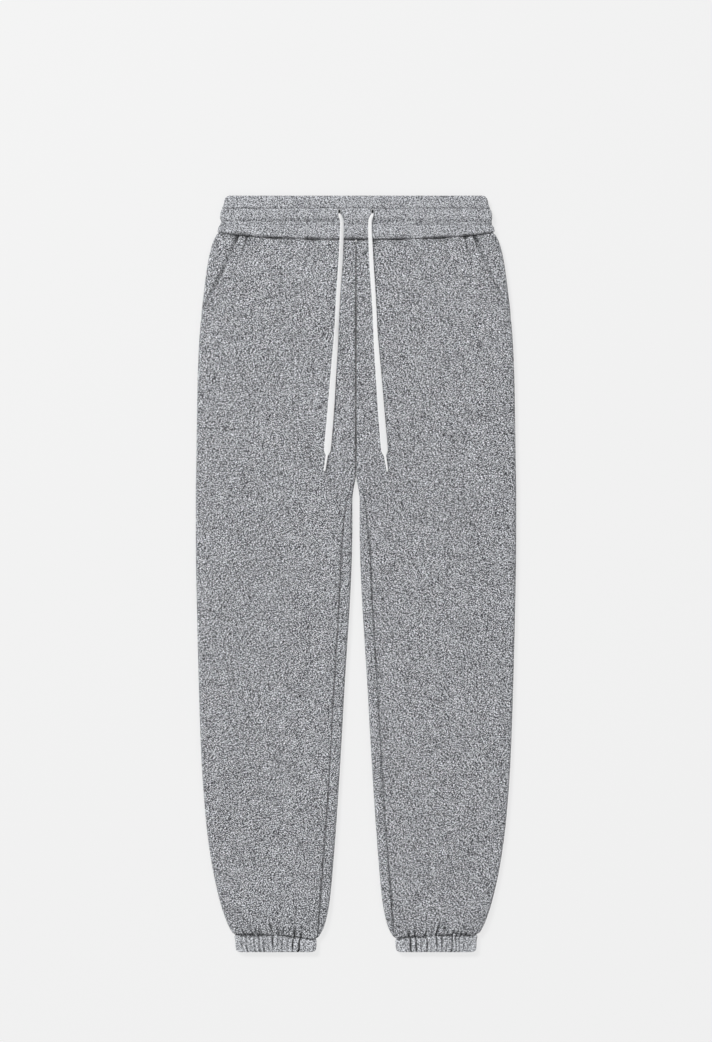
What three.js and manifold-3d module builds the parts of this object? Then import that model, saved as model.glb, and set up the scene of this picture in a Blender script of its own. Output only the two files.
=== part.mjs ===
// Jogger sweatpants laid flat, front up, in millimetres.
// The waist edge lies at +Y, the wearer's left leg at +X, and the underside rests on z = 0.
// "down" is the distance below the waist edge, "across" the distance from the centre line.
import * as THREE from 'three';
import { mergeVertices } from 'three/addons/utils/BufferGeometryUtils.js';
import Module from 'manifold-3d';

const length = 1014;
const forkDown = 379.5;
const seamGap = 0.3;

// Walls, and the height of two of them laid on each other with the air between.
const cloth = 2.8;
const clothLaid = 9.2;
const bandWall = 4.4;
const bandLaid = 10.2;
const cuffWall = 4.2;
const cuffLaid = 9.8;

// The side seam lies just under the outer fold, and the panels sink a little into each seam.
const sideSeamTurn = THREE.MathUtils.degToRad(125);
const seamSink = 0.9;
const seamSinkReach = 3;

// Half-widths of the laid garment: outer edge, and half of the gap between the legs.
const outline = [
  { down: 0, outer: 173, gap: 0 },
  { down: 4, outer: 176, gap: 0 },
  { down: 12, outer: 178.5, gap: 0 },
  { down: 30, outer: 182.5, gap: 0 },
  { down: 52, outer: 187.6, gap: 0 },
  { down: 62, outer: 192.2, gap: 0 },
  { down: 80, outer: 197.7, gap: 0 },
  { down: 113, outer: 203, gap: 0 },
  { down: 165, outer: 208.8, gap: 0 },
  { down: 247, outer: 213, gap: 0 },
  { down: 379.5, outer: 215.5, gap: 0 },
  { down: 395, outer: 215.7, gap: 3.6 },
  { down: 410, outer: 215.7, gap: 5 },
  { down: 488, outer: 215, gap: 5.6 },
  { down: 542, outer: 214.3, gap: 7.9 },
  { down: 649, outer: 211.7, gap: 14.7 },
  { down: 756, outer: 207.6, gap: 20.8 },
  { down: 837, outer: 201.7, gap: 26 },
  { down: 890, outer: 195, gap: 30 },
  { down: 944, outer: 183.6, gap: 34.8 },
  { down: 971, outer: 175, gap: 40 },
  { down: 984, outer: 169, gap: 44.5 },
  { down: 993, outer: 163.6, gap: 50.5 },
  { down: 1009, outer: 161.6, gap: 53 },
  { down: 1012.5, outer: 160.4, gap: 54.2 },
  { down: 1014, outer: 157.5, gap: 57 },
];

// How far each layer rolls in towards the centre seam above the fork, in degrees.
const centreRoll = [
  { down: 50, top: 24, bottom: 14 },
  { down: 180, top: 30, bottom: 14 },
  { down: 290, top: 58, bottom: 18 },
  { down: 350, top: 80, bottom: 50 },
  { down: 379.5, top: 90, bottom: 90 },
];

// The inseam lies on the front, this far in from each leg's inner edge.
const inseam = [
  { down: 379.5, inset: 0 },
  { down: 415, inset: 8 },
  { down: 455, inset: 12.4 },
  { down: 490, inset: 14.2 },
  { down: 925, inset: 13.4 },
  { down: 971, inset: 9.8 },
  { down: 982, inset: 6.5 },
  { down: 994, inset: 1.5 },
];

// The slant pocket opening, from the waist seam to the outer fold.
const pocketEdge = [
  { down: 40, across: 151.5 },
  { down: 54, across: 156.5 },
  { down: 73, across: 165 },
  { down: 89, across: 171.5 },
  { down: 117, across: 184.8 },
  { down: 128, across: 190.6 },
  { down: 175, across: 214 },
];
const pocketHem = { width: 9, rise: 0.9, root: 1.4, setback: 0.2, from: 62, to: 127, steps: 8 };

// Rows of stitching and soft grooves that part the waistband into lobes, below a turned edge.
const bandHemDepth = 3;
const bandRows = [
  { down: 0, sink: 1.5 },
  { down: 1.2, sink: 0.5 },
  { down: 4, sink: 0 },
  { down: 10, sink: 0 },
  { down: 14.5, sink: 0.4 },
  { down: 16.5, sink: 1.2 },
  { down: 18.5, sink: 0.4 },
  { down: 26, sink: 0 },
  { down: 33.5, sink: 0.7 },
  { down: 37, sink: 0.9 },
  { down: 39, sink: 0.4 },
  { down: 46, sink: 0 },
];

// Creases of the front panels: troughs with a negative rise, ridges with a positive one.
const creases = {
  right: [
    { across: 16, down: 398, toAcross: 92, toDown: 362, half: 20, rise: -1.5 },
    { across: 20, down: 432, toAcross: 118, toDown: 452, half: 18, rise: -1.1 },
    { across: 30, down: 500, toAcross: 74, toDown: 560, half: 17, rise: -0.9 },
    { across: 168, down: 196, toAcross: 108, toDown: 250, half: 20, rise: -1.0 },
    { across: 74, down: 668, toAcross: 158, toDown: 640, half: 22, rise: -1.0 },
    { across: 182, down: 842, toAcross: 150, toDown: 930, half: 20, rise: -1.4 },
    { across: 60, down: 800, toAcross: 118, toDown: 826, half: 20, rise: -0.8 },
  ],
  left: [
    { across: 15, down: 404, toAcross: 84, toDown: 374, half: 19, rise: -1.4 },
    { across: 24, down: 446, toAcross: 132, toDown: 440, half: 20, rise: -1.2 },
    { across: 34, down: 520, toAcross: 66, toDown: 592, half: 18, rise: -0.8 },
    { across: 160, down: 210, toAcross: 100, toDown: 244, half: 18, rise: -0.9 },
    { across: 84, down: 690, toAcross: 148, toDown: 672, half: 20, rise: -0.9 },
    { across: 178, down: 860, toAcross: 146, toDown: 938, half: 22, rise: -1.5 },
    { across: 66, down: 770, toAcross: 126, toDown: 788, half: 18, rise: -0.7 },
  ],
};

// Gathers that the elastic of a cuff draws across its front and up into the leg.
const gathers = {
  right: [
    { across: 147.7, half: 2.6, depth: 1.1, above: 24 },
    { across: 142.4, half: 2.2, depth: 0.8, above: 14 },
    { across: 137, half: 2.6, depth: 1.0, above: 28 },
    { across: 130.4, half: 2.4, depth: 0.9, above: 18 },
    { across: 124.8, half: 2.4, depth: 1.1, above: 22 },
    { across: 118, half: 2.8, depth: 0.5, above: 12 },
    { across: 110.8, half: 2.6, depth: 1.0, above: 30 },
    { across: 103, half: 2.6, depth: 0.7, above: 20 },
    { across: 96.3, half: 2.8, depth: 0.7, above: 26 },
    { across: 89, half: 2.6, depth: 0.5, above: 14 },
    { across: 82.3, half: 2.2, depth: 1.2, above: 20 },
    { across: 73.3, half: 2.6, depth: 1.2, above: 16 },
  ],
  left: [
    { across: 146.2, half: 2.6, depth: 0.9, above: 18 },
    { across: 140.2, half: 2.4, depth: 1.0, above: 26 },
    { across: 134.4, half: 2.4, depth: 0.8, above: 16 },
    { across: 128.4, half: 2.6, depth: 1.1, above: 28 },
    { across: 121.6, half: 2.6, depth: 0.7, above: 18 },
    { across: 115, half: 2.4, depth: 0.9, above: 22 },
    { across: 107.6, half: 2.8, depth: 1.1, above: 26 },
    { across: 100, half: 2.4, depth: 0.6, above: 14 },
    { across: 93.4, half: 2.6, depth: 0.9, above: 24 },
    { across: 85.8, half: 2.6, depth: 0.6, above: 16 },
    { across: 79, half: 2.2, depth: 1.1, above: 20 },
    { across: 71, half: 2.6, depth: 1.0, above: 14 },
  ],
};
const gatherShareOnLeg = 0.7;
const cuffPuff = { rise: 1.1, down: 962, half: 34 };

// A worked eyelet on each side of the centre, and the drawcord that comes out of it.
const eyelet = { across: 22.2, down: 21.7, flange: 2.7, barrel: 1.6, hole: 1, thick: 0.9,
  deep: 2.6, chamfer: 0.35, sides: 14 };
const eyeletBore = { radius: 1.9, deep: 3.3, sides: 12 };
const cord = { width: 8.4, thick: 2.2, steps: 22 };
const cordRoute = [
  { across: 21.9, down: 25.6, up: 11.6 },
  { across: 19.2, down: 33, up: 11.6 },
  { across: 18.8, down: 45, up: 11.5 },
  { across: 19.4, down: 62, up: 11.3 },
  { across: 20.6, down: 88, up: 10.7 },
  { across: 24.1, down: 140, up: 10.65 },
  { across: 26.8, down: 193.6, up: 10.65 },
  { across: 30.8, down: 247, up: 10.65 },
  { across: 34.8, down: 301, up: 10.65 },
  { across: 37.1, down: 327.6, up: 10.65 },
  { across: 38.8, down: 345, up: 10.65 },
];
const cordTip = { length: 21, wide: 4, narrow: 3, toAcross: 41.9, sides: 10 };

// Mesh density: rows down the panels, and how many columns stand in each stretch.
const panelRows = [72, 92, 125, 175, 235, 290, 330, 356, 372, 384, 400, 430, 480, 560, 660, 760,
  850, 915];
const gatheredRows = [946, 966, 981];
const waistSeamNear = 56;
const cuffSeamNear = 992;
const frontColumns = { start: 3, middle: 8, startReach: 8, end: 4, endReach: 11 };
const backColumns = { start: 3, middle: 4, startReach: 6, end: 7, endReach: 25 };
const bandColumns = { side: 6, fold: 3 };
const cuffColumns = { fold: 3, back: 5 };
const cuffRows = [
  { share: 0.1, sink: 0 },
  { share: 0.55, sink: 0 },
  { share: 0.86, sink: 0.3 },
  { share: 1, sink: 1.5 },
];
const leastColumnStep = 1.2;

// Columns count from 0 to 1, and each of the two end stretches takes this share of them.
const endShare = 0.2;
const middleEnd = 1 - endShare;

const wasm = await Module();
wasm.setup();

// A smooth value from a table by its "down" column, with no overshoot between rows.
function valueAt(table, column, down) {
  const last = table.length - 1;
  if (down <= table[0].down) return table[0][column];
  if (down >= table[last].down) return table[last][column];
  const i = table.findIndex((row) => row.down > down) - 1;
  const rise = (k) => (table[k + 1][column] - table[k][column]) / (table[k + 1].down - table[k].down);
  const slope = (k) => {
    if (k === 0) return rise(0);
    if (k === last) return rise(last - 1);
    const [before, after] = [rise(k - 1), rise(k)];
    return before * after <= 0 ? 0 : (2 * before * after) / (before + after);
  };
  const step = table[i + 1].down - table[i].down;
  const t = (down - table[i].down) / step;
  const [from, to] = [table[i][column], table[i + 1][column]];
  return from + (to - from) * t * t * (3 - 2 * t)
    + step * t * (1 - t) * (slope(i) * (1 - t) - slope(i + 1) * t);
}

const waistSeam = (across) => 59.2 - 8.9 * (across / 181) ** 2.6;

function cuffSeam(across) {
  const t = THREE.MathUtils.clamp((across - 52) / 111, 0, 1);
  return 996 - 10 * t + 5.5 * t * t;
}

// The outer skin of half a section, walked from the centre or inner fold over the top,
// round the outer fold and back along the underside: three bends with flats between them.
function section(down, laid, rollTop, rollBottom, inner) {
  const radius = laid / 2;
  const outerBend = valueAt(outline, 'outer', down) - radius;
  const bends = [
    { x: inner + radius * Math.sin(rollTop), from: -rollTop, to: 0 },
    { x: outerBend, from: 0, to: Math.PI },
    { x: inner + radius * Math.sin(rollBottom), from: Math.PI, to: Math.PI + rollBottom },
  ];
  const flatTop = bends[1].x - bends[0].x;
  const flatBottom = bends[1].x - bends[2].x;
  const total = radius * (rollTop + Math.PI + rollBottom) + flatTop + flatBottom;
  const outerFold = radius * rollTop + flatTop;
  return { radius, bends, total, outerFold };
}

function legSection(down) {
  const roll = (column) => THREE.MathUtils.degToRad(valueAt(centreRoll, column, down));
  const inner = Math.max(valueAt(outline, 'gap', down), seamGap / 2);
  return section(down, clothLaid, roll('top'), roll('bottom'), inner);
}

function bandSection(down) {
  return section(down, bandLaid, 0, 0, 0);
}

function cuffSection(down) {
  return section(down, cuffLaid, Math.PI / 2, Math.PI / 2, valueAt(outline, 'gap', down));
}

// The point and outward direction at a distance along a section's skin.
function along(shape, distance) {
  let rest = distance > shape.total ? distance - shape.total : distance;
  for (const [i, bend] of shape.bends.entries()) {
    const arc = shape.radius * (bend.to - bend.from);
    const turn = rest < arc ? bend.from + rest / shape.radius : bend.to;
    rest = Math.max(rest - arc, 0);
    const flat = i < 2 ? Math.abs(shape.bends[i + 1].x - bend.x) : Infinity;
    if (turn < bend.to || rest <= flat) {
      const [nx, nz] = [Math.sin(turn), Math.cos(turn)];
      return {
        x: bend.x + shape.radius * nx + rest * nz,
        z: shape.radius * (1 + nz) - rest * nx,
        nx,
        nz,
      };
    }
    rest -= flat;
  }
  return null;
}

// A point of a wall: on the skin at that distance, sunk by an inset, lifted where it faces up.
function wallPoint(shape, distance, down, inset, lift) {
  const { x, z, nx, nz } = along(shape, distance);
  const up = lift * Math.max(nz, 0) ** 2;
  return new THREE.Vector3(x - inset * nx, length / 2 - down, z - inset * nz + up);
}

// A soft bump of height 1 that falls to 0 at a distance of one reach.
const bell = (away, reach) => Math.max(0, 1 - (away / reach) ** 2) ** 2;

function creaseLift(crease, x, down) {
  const [dx, dy] = [crease.toAcross - crease.across, crease.toDown - crease.down];
  const t = ((x - crease.across) * dx + (down - crease.down) * dy) / (dx * dx + dy * dy);
  const share = THREE.MathUtils.clamp(t, 0, 1);
  const away = Math.hypot(x - crease.across - share * dx, down - crease.down - share * dy);
  return crease.rise * bell(away, crease.half);
}

function legLift(side, x, down) {
  const folds = creases[side].reduce((sum, crease) => sum + creaseLift(crease, x, down), 0);
  return folds + cuffPuff.rise * bell(down - cuffPuff.down, cuffPuff.half);
}

// Gathers by where a column meets the cuff seam, so that they fan out with the columns.
// Each reaches its own height above the seam, and below it they run to the hem.
function gatherLift(side, seamX, above) {
  return -gathers[side].reduce((sum, gather) => {
    const share = above > 0 ? gatherShareOnLeg * Math.max(0, 1 - above / gather.above) : 1;
    return sum + share * gather.depth * bell(seamX - gather.across, gather.half);
  }, 0);
}

function evenly(count) {
  const list = [];
  for (let i = 1; i < count; i += 1) list.push(THREE.MathUtils.lerp(endShare, middleEnd, i / count));
  return list;
}

function columnsOf({ start, end }, middle) {
  const list = [];
  for (let i = 0; i <= start; i += 1) list.push((endShare * i) / start);
  list.push(...middle);
  for (let i = 0; i <= end; i += 1) list.push(middleEnd + (endShare * i) / end);
  return list;
}

// A column on each gather's middle and on its two edges, where those stand apart.
function gatherColumns(side, fromX, toX) {
  const columns = [];
  let reached = fromX + leastColumnStep;
  for (const { across, half } of gathers[side].toReversed()) {
    for (const x of [across - half, across, across + half]) {
      if (x === across || x >= reached) {
        columns.push(THREE.MathUtils.mapLinear(x, fromX, toX, endShare, middleEnd));
      }
      reached = Math.max(reached, x + leastColumnStep);
    }
    reached = across + half + leastColumnStep;
  }
  return columns;
}

// Distance along the skin for a column, when the end stretches have lengths of their own.
function spread(p, from, to, { startReach, endReach }) {
  if (p <= endShare) return from + (startReach * p) / endShare;
  if (p >= middleEnd) return to - (endReach * (1 - p)) / endShare;
  return THREE.MathUtils.mapLinear(p, endShare, middleEnd, from + startReach, to - endReach);
}

// A closed wall from rows of { p, outer, inner } points, with rows of unlike counts stitched
// by their p values. Rows run down and columns run across, seen from outside.
function wall(rows) {
  const points = [];
  const index = [];
  const numbered = rows.map((row) => row.map(({ p, outer, inner }) => {
    points.push(outer, inner);
    return { p, outer: points.length - 2, inner: points.length - 1 };
  }));
  const face = (a, b, c) => index.push(a, b, c);
  const quad = (a, b, c, d) => {
    face(a, b, c);
    face(a, c, d);
  };
  for (let r = 0; r + 1 < numbered.length; r += 1) {
    const [upper, lower] = [numbered[r], numbered[r + 1]];
    let [i, j] = [0, 0];
    while (i + 1 < upper.length || j + 1 < lower.length) {
      const stepUpper = j + 1 >= lower.length
        || (i + 1 < upper.length && upper[i + 1].p <= lower[j + 1].p);
      const next = stepUpper ? upper[i + 1] : lower[j + 1];
      face(upper[i].outer, lower[j].outer, next.outer);
      face(upper[i].inner, next.inner, lower[j].inner);
      if (stepUpper) i += 1;
      else j += 1;
    }
    const [a, b] = [upper[0], lower[0]];
    const [c, d] = [upper.at(-1), lower.at(-1)];
    quad(a.outer, a.inner, b.inner, b.outer);
    quad(c.outer, d.outer, d.inner, c.inner);
  }
  const [first, last] = [numbered[0], numbered.at(-1)];
  for (let i = 0; i + 1 < first.length; i += 1) {
    quad(first[i].outer, first[i + 1].outer, first[i + 1].inner, first[i].inner);
  }
  for (let i = 0; i + 1 < last.length; i += 1) {
    quad(last[i].outer, last[i].inner, last[i + 1].inner, last[i + 1].outer);
  }
  const geometry = new THREE.BufferGeometry().setFromPoints(points);
  geometry.setIndex(index);
  return geometry;
}

function toSolid(geometry) {
  const plain = geometry.clone();
  plain.deleteAttribute('normal');
  plain.deleteAttribute('uv');
  const merged = mergeVertices(plain, 1e-4);
  return new wasm.Manifold(new wasm.Mesh({
    numProp: 3,
    vertProperties: new Float32Array(merged.attributes.position.array),
    triVerts: new Uint32Array(merged.index.array),
  }));
}

function toGeometry(solid) {
  const mesh = solid.getMesh();
  const geometry = new THREE.BufferGeometry();
  geometry.setAttribute('position', new THREE.BufferAttribute(mesh.vertProperties, 3));
  geometry.setIndex(new THREE.BufferAttribute(mesh.triVerts, 1));
  return geometry;
}

// Everything is made on the wearer's left and mirrored for the right.
function onSide(geometry, side) {
  if (side === 'left') return geometry;
  const plain = geometry.clone();
  plain.deleteAttribute('normal');
  plain.deleteAttribute('uv');
  const mirrored = mergeVertices(plain, 1e-4);
  mirrored.scale(-1, 1, 1);
  const { array } = mirrored.index;
  for (let i = 0; i < array.length; i += 3) {
    [array[i], array[i + 1]] = [array[i + 1], array[i]];
  }
  return mirrored;
}

// A leg panel: rows from the waist seam to the cuff seam. limits gives where it begins and
// ends along the section at a height, and a seam row follows its seam line across.
function panelWall(side, limits, columns, gathered) {
  const skinAt = (p, down) => {
    const shape = legSection(down);
    const distance = spread(p, ...limits(shape, down), columns);
    return { shape, distance, x: along(shape, distance).x };
  };
  const seamX = (p) => skinAt(p, cuffSeamNear).x;
  const at = (p, down, sink) => {
    const { shape, distance, x } = skinAt(p, down);
    const lift = legLift(side, x, down) + gatherLift(side, seamX(p), cuffSeam(seamX(p)) - down);
    return {
      p,
      outer: wallPoint(shape, distance, down, sink, lift),
      inner: wallPoint(shape, distance, down, cloth, lift),
    };
  };
  const plain = columnsOf(columns, evenly(columns.middle));
  const gatherMiddle = () => gatherColumns(side, seamX(endShare), seamX(middleEnd));
  const fine = gathered ? columnsOf(columns, gatherMiddle()) : plain;
  const waistRow = (offset, sink) => plain.map((p) => (
    at(p, waistSeam(skinAt(p, waistSeamNear).x) + offset, sink)));
  return wall([
    waistRow(seamGap / 2, seamSink),
    waistRow(seamSinkReach, 0),
    ...panelRows.map((down) => plain.map((p) => at(p, down, 0))),
    ...gatheredRows.map((down) => fine.map((p) => at(p, down, 0))),
    fine.map((p) => at(p, cuffSeam(seamX(p)) - seamGap / 2, seamSink / 2)),
  ]);
}

// Where the inseam lies along the skin, from the leg's inner fold.
function inseamDistance(shape, down) {
  const inset = valueAt(inseam, 'inset', down);
  const radius = shape.radius;
  return inset < radius
    ? radius * Math.acos(1 - inset / radius)
    : radius * (Math.PI / 2) + inset - radius;
}

function frontLimits(shape, down) {
  const start = down > forkDown ? inseamDistance(shape, down) : 0;
  return [start + seamGap / 2, shape.outerFold + shape.radius * sideSeamTurn];
}

function backLimits(shape, down) {
  const start = shape.outerFold + shape.radius * sideSeamTurn + seamGap;
  const rolled = down > forkDown ? inseamDistance(shape, down) : 0;
  return [start, shape.total + rolled - seamGap / 2];
}

// The prism that stands on the outer side of the pocket's edge, in plan.
function pocketPrism(shift) {
  const beyond = 240;
  const corners = pocketEdge.map(({ across, down }) => new THREE.Vector2(across + shift, length / 2 - down));
  const [first, last] = [corners[0], corners.at(-1)];
  const shape = new THREE.Shape([...corners, new THREE.Vector2(beyond, last.y),
    new THREE.Vector2(beyond, first.y)]);
  const prism = new THREE.ExtrudeGeometry(shape, { depth: 4 * clothLaid, bevelEnabled: false });
  prism.translate(0, 0, -clothLaid);
  return toSolid(prism);
}

// The turned and stitched hem of the pocket's edge, a raised strip rooted in the front.
function pocketHemStrip(side) {
  const profile = [
    { share: 0, rise: 0.4 },
    { share: 0.14, rise: 0.85 },
    { share: 0.45, rise: 1 },
    { share: 0.8, rise: 0.75 },
    { share: 1, rise: 0 },
  ];
  const rows = [];
  for (let i = 0; i <= pocketHem.steps; i += 1) {
    const down = THREE.MathUtils.lerp(pocketHem.from, pocketHem.to, i / pocketHem.steps);
    const edge = valueAt(pocketEdge, 'across', down) - pocketHem.setback;
    rows.push(profile.map(({ share, rise }) => {
      const x = edge - pocketHem.width * share;
      const z = clothLaid + legLift(side, x, down);
      const y = length / 2 - down;
      return {
        p: 1 - share,
        outer: new THREE.Vector3(x, y, z + rise * pocketHem.rise),
        inner: new THREE.Vector3(x, y, z - pocketHem.root),
      };
    }).reverse());
  }
  return toSolid(wall(rows));
}

function frontAndFacing(side) {
  const whole = toSolid(panelWall(side, frontLimits, frontColumns, true));
  const front = whole.subtract(pocketPrism(-seamGap / 2)).add(pocketHemStrip(side));
  const facing = whole.intersect(pocketPrism(seamGap / 2));
  return { front: toGeometry(front), facing: toGeometry(facing) };
}

function backPanel(side) {
  return panelWall(side, backLimits, backColumns, false);
}

// Half of the waistband, side fold to side fold: the front lies over the top, the back under.
function bandHalf(isFront) {
  const halfColumns = [];
  for (let i = 0; i < bandColumns.side; i += 1) halfColumns.push((middleEnd * i) / bandColumns.side);
  for (let i = 0; i <= bandColumns.fold; i += 1) {
    halfColumns.push(middleEnd + (endShare * i) / bandColumns.fold);
  }
  const columns = [...halfColumns.slice(1).reverse().map((p) => -p), ...halfColumns];
  const at = (p, down, sink, inset) => {
    const shape = bandSection(down);
    const foldReach = (shape.radius * Math.PI) / 2;
    const half = shape.total / 2 - seamGap / 2;
    const share = Math.abs(p);
    const fromCentre = share < middleEnd
      ? ((half - foldReach) * share) / middleEnd
      : half - (foldReach * (1 - share)) / endShare;
    const distance = isFront ? fromCentre : shape.total - fromCentre;
    const place = (depth) => {
      const point = wallPoint(shape, distance, down, depth, 0);
      return point.setX(point.x * (Math.sign(p) || 1));
    };
    return { p: isFront ? p : -p, outer: place(sink), inner: place(inset) };
  };
  const order = isFront ? columns : columns.toReversed();
  const seamAt = (p) => waistSeam(Math.abs(at(p, waistSeamNear, 0, 0).outer.x));
  const hemInset = (row) => (row.down < bandHemDepth ? bandWall - row.sink : bandWall);
  return wall([
    ...bandRows.map((row) => order.map((p) => at(p, row.down, row.sink, hemInset(row)))),
    order.map((p) => at(p, seamAt(p) - seamSinkReach, 0, bandWall)),
    order.map((p) => at(p, seamAt(p) - seamGap / 2, seamSink, bandWall)),
  ]);
}

function waistbandFront() {
  const bore = new THREE.CylinderGeometry(eyeletBore.radius, eyeletBore.radius, 2 * bandLaid,
    eyeletBore.sides);
  bore.rotateX(Math.PI / 2);
  bore.translate(eyelet.across, length / 2 - eyelet.down, 2 * bandLaid - eyeletBore.deep);
  return toGeometry(toSolid(bandHalf(true))
    .subtract(toSolid(bore))
    .subtract(toSolid(onSide(bore, 'right'))));
}

// Half of a cuff, inner fold to outer fold: the front lies over the top, the back under.
function cuffHalf(side, isFront) {
  const skinAt = (p, down) => {
    const shape = cuffSection(down);
    const foldReach = (shape.radius * Math.PI) / 2;
    const from = seamGap / 2 + (isFront ? 0 : shape.total / 2);
    const to = from + shape.total / 2 - seamGap;
    const distance = spread(p, from, to, { startReach: foldReach, endReach: foldReach });
    return { shape, distance, x: along(shape, distance).x };
  };
  const seamX = (p) => skinAt(p, cuffSeamNear).x;
  const at = (p, down, sink, inset) => {
    const { shape, distance } = skinAt(p, down);
    return {
      p,
      outer: wallPoint(shape, distance, down, sink, isFront ? gatherLift(side, seamX(p), 0) : 0),
      inner: wallPoint(shape, distance, down, inset, 0),
    };
  };
  const middle = isFront
    ? gatherColumns(side, seamX(endShare), seamX(middleEnd))
    : evenly(cuffColumns.back);
  const columns = columnsOf({ start: cuffColumns.fold, end: cuffColumns.fold }, middle);
  const rowAt = ({ share, sink }) => columns.map((p) => (
    at(p, THREE.MathUtils.lerp(cuffSeam(seamX(p)), length, share), sink, cuffWall - sink)));
  return wall([
    columns.map((p) => at(p, cuffSeam(seamX(p)) + seamGap / 2, seamSink, cuffWall)),
    ...cuffRows.map(rowAt),
  ]);
}

function eyeletRing() {
  const top = bandLaid + seamGap + eyelet.thick;
  const under = bandLaid + seamGap;
  const foot = bandLaid - eyelet.deep;
  const profile = [
    [eyelet.hole, foot],
    [eyelet.barrel, foot],
    [eyelet.barrel, under],
    [eyelet.flange, under],
    [eyelet.flange, top - eyelet.chamfer],
    [eyelet.flange - eyelet.chamfer, top],
    [eyelet.hole + eyelet.chamfer, top],
    [eyelet.hole, top - eyelet.chamfer],
    [eyelet.hole, foot],
  ].map(([radius, height]) => new THREE.Vector2(radius, height));
  const ring = new THREE.LatheGeometry(profile, eyelet.sides);
  ring.rotateX(Math.PI / 2);
  ring.translate(eyelet.across, length / 2 - eyelet.down, 0);
  return ring;
}

const routePoint = ({ across, down, up }) => new THREE.Vector3(across, length / 2 - down, up);

// The drawcord is flat: an eight-sided section, wide across the garment.
function drawcord() {
  const [w, t] = [cord.width / 2, cord.thick / 2];
  const shape = new THREE.Shape([[-w, -t / 2], [-w + t / 2, -t], [w - t / 2, -t], [w, -t / 2],
    [w, t / 2], [w - t / 2, t], [-w + t / 2, t], [-w, t / 2]].map(([x, y]) => new THREE.Vector2(y, x)));
  const path = new THREE.CatmullRomCurve3(cordRoute.map(routePoint), false, 'centripetal');
  return new THREE.ExtrudeGeometry(shape, { steps: cord.steps, extrudePath: path, bevelEnabled: false });
}

function cordTipPiece() {
  const end = routePoint(cordRoute.at(-1));
  const toward = new THREE.Vector3(cordTip.toAcross, end.y - cordTip.length, end.z).sub(end).normalize();
  const tip = new THREE.CylinderGeometry(cordTip.wide / 2, cordTip.narrow / 2, cordTip.length, cordTip.sides);
  tip.rotateX(Math.PI);
  tip.translate(0, cordTip.length / 2, 0);
  tip.applyQuaternion(new THREE.Quaternion().setFromUnitVectors(new THREE.Vector3(0, 1, 0), toward));
  const start = end.addScaledVector(toward, seamGap);
  tip.translate(start.x, start.y, clothLaid + seamGap + cordTip.wide / 2);
  return tip;
}

const marl = new THREE.MeshStandardMaterial({ color: 0x9a9b9f, roughness: 0.92, metalness: 0 });
const white = new THREE.MeshStandardMaterial({ color: 0xececea, roughness: 0.8, metalness: 0 });
const thread = new THREE.MeshStandardMaterial({ color: 0xc4c5c8, roughness: 0.7, metalness: 0 });

const pants = new THREE.Group();

function add(name, geometry, material) {
  const mesh = new THREE.Mesh(geometry, material);
  mesh.name = name;
  pants.add(mesh);
}

add('waistband_front', waistbandFront(), marl);
add('waistband_back', bandHalf(false), marl);
for (const side of ['right', 'left']) {
  const { front, facing } = frontAndFacing(side);
  add(`front_${side}`, onSide(front, side), marl);
  add(`pocket_facing_${side}`, onSide(facing, side), marl);
  add(`back_${side}`, onSide(backPanel(side), side), marl);
  add(`cuff_front_${side}`, onSide(cuffHalf(side, true), side), marl);
  add(`cuff_back_${side}`, onSide(cuffHalf(side, false), side), marl);
  add(`eyelet_${side}`, onSide(eyeletRing(), side), thread);
  add(`drawcord_${side}`, onSide(drawcord(), side), white);
  add(`cord_tip_${side}`, onSide(cordTipPiece(), side), white);
}

export default pants;
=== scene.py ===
"""Marl fleece jogger sweatpants laid flat, front up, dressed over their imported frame."""

import math

import bmesh
import bpy
import numpy as np
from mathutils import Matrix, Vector


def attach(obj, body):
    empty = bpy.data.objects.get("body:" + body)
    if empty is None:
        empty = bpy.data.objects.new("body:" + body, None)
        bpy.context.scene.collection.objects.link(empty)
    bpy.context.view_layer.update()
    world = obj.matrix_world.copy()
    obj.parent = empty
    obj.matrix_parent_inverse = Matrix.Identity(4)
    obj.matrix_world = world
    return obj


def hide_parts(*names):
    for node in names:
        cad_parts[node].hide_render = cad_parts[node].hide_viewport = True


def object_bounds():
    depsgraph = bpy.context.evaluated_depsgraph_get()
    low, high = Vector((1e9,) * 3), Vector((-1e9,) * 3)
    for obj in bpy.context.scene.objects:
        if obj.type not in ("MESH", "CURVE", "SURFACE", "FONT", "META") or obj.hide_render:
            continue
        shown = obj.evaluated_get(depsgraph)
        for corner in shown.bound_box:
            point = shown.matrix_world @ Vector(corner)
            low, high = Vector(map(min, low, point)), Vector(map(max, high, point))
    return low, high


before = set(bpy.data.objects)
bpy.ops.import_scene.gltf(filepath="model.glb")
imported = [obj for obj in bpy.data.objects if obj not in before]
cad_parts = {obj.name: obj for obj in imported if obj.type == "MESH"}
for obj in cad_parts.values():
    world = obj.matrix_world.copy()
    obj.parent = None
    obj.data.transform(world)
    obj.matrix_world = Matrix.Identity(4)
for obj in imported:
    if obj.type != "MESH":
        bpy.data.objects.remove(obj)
CAD_BOX = [list(corner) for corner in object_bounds()]

bl_info = {
    "name": "Jogger Sweatpants",
    "version": (1, 0, 0),
    "blender": (4, 5, 0),
    "location": "View3D > Sidebar > Joggers",
    "description": "Builds jogger sweatpants in marl fleece, laid flat",
    "category": "Add Mesh",
}

# Sizes in this file are in millimetres, and meshes are made in metres.
# "down" is the distance below the waist edge, "across" the distance from the centre line.
MM = 0.001
LENGTH = (CAD_BOX[1][1] - CAD_BOX[0][1]) / MM
SIDES = {"right": -1, "left": 1}
FORK_DOWN = 379.5
SEAM_GAP = 0.06
SIDE_SEAM_TURN = math.radians(125)

CLOTH_LAID = 9.2
BAND_LAID = 10.2
CUFF_LAID = 9.8
BAND_WALL = 4.4
CUFF_WALL = 4.2


def table(columns, *rows):
    """A short table as one array for each named column."""
    return {name: np.array(values, float) for name, values in zip(columns.split(), zip(*rows))}


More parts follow.
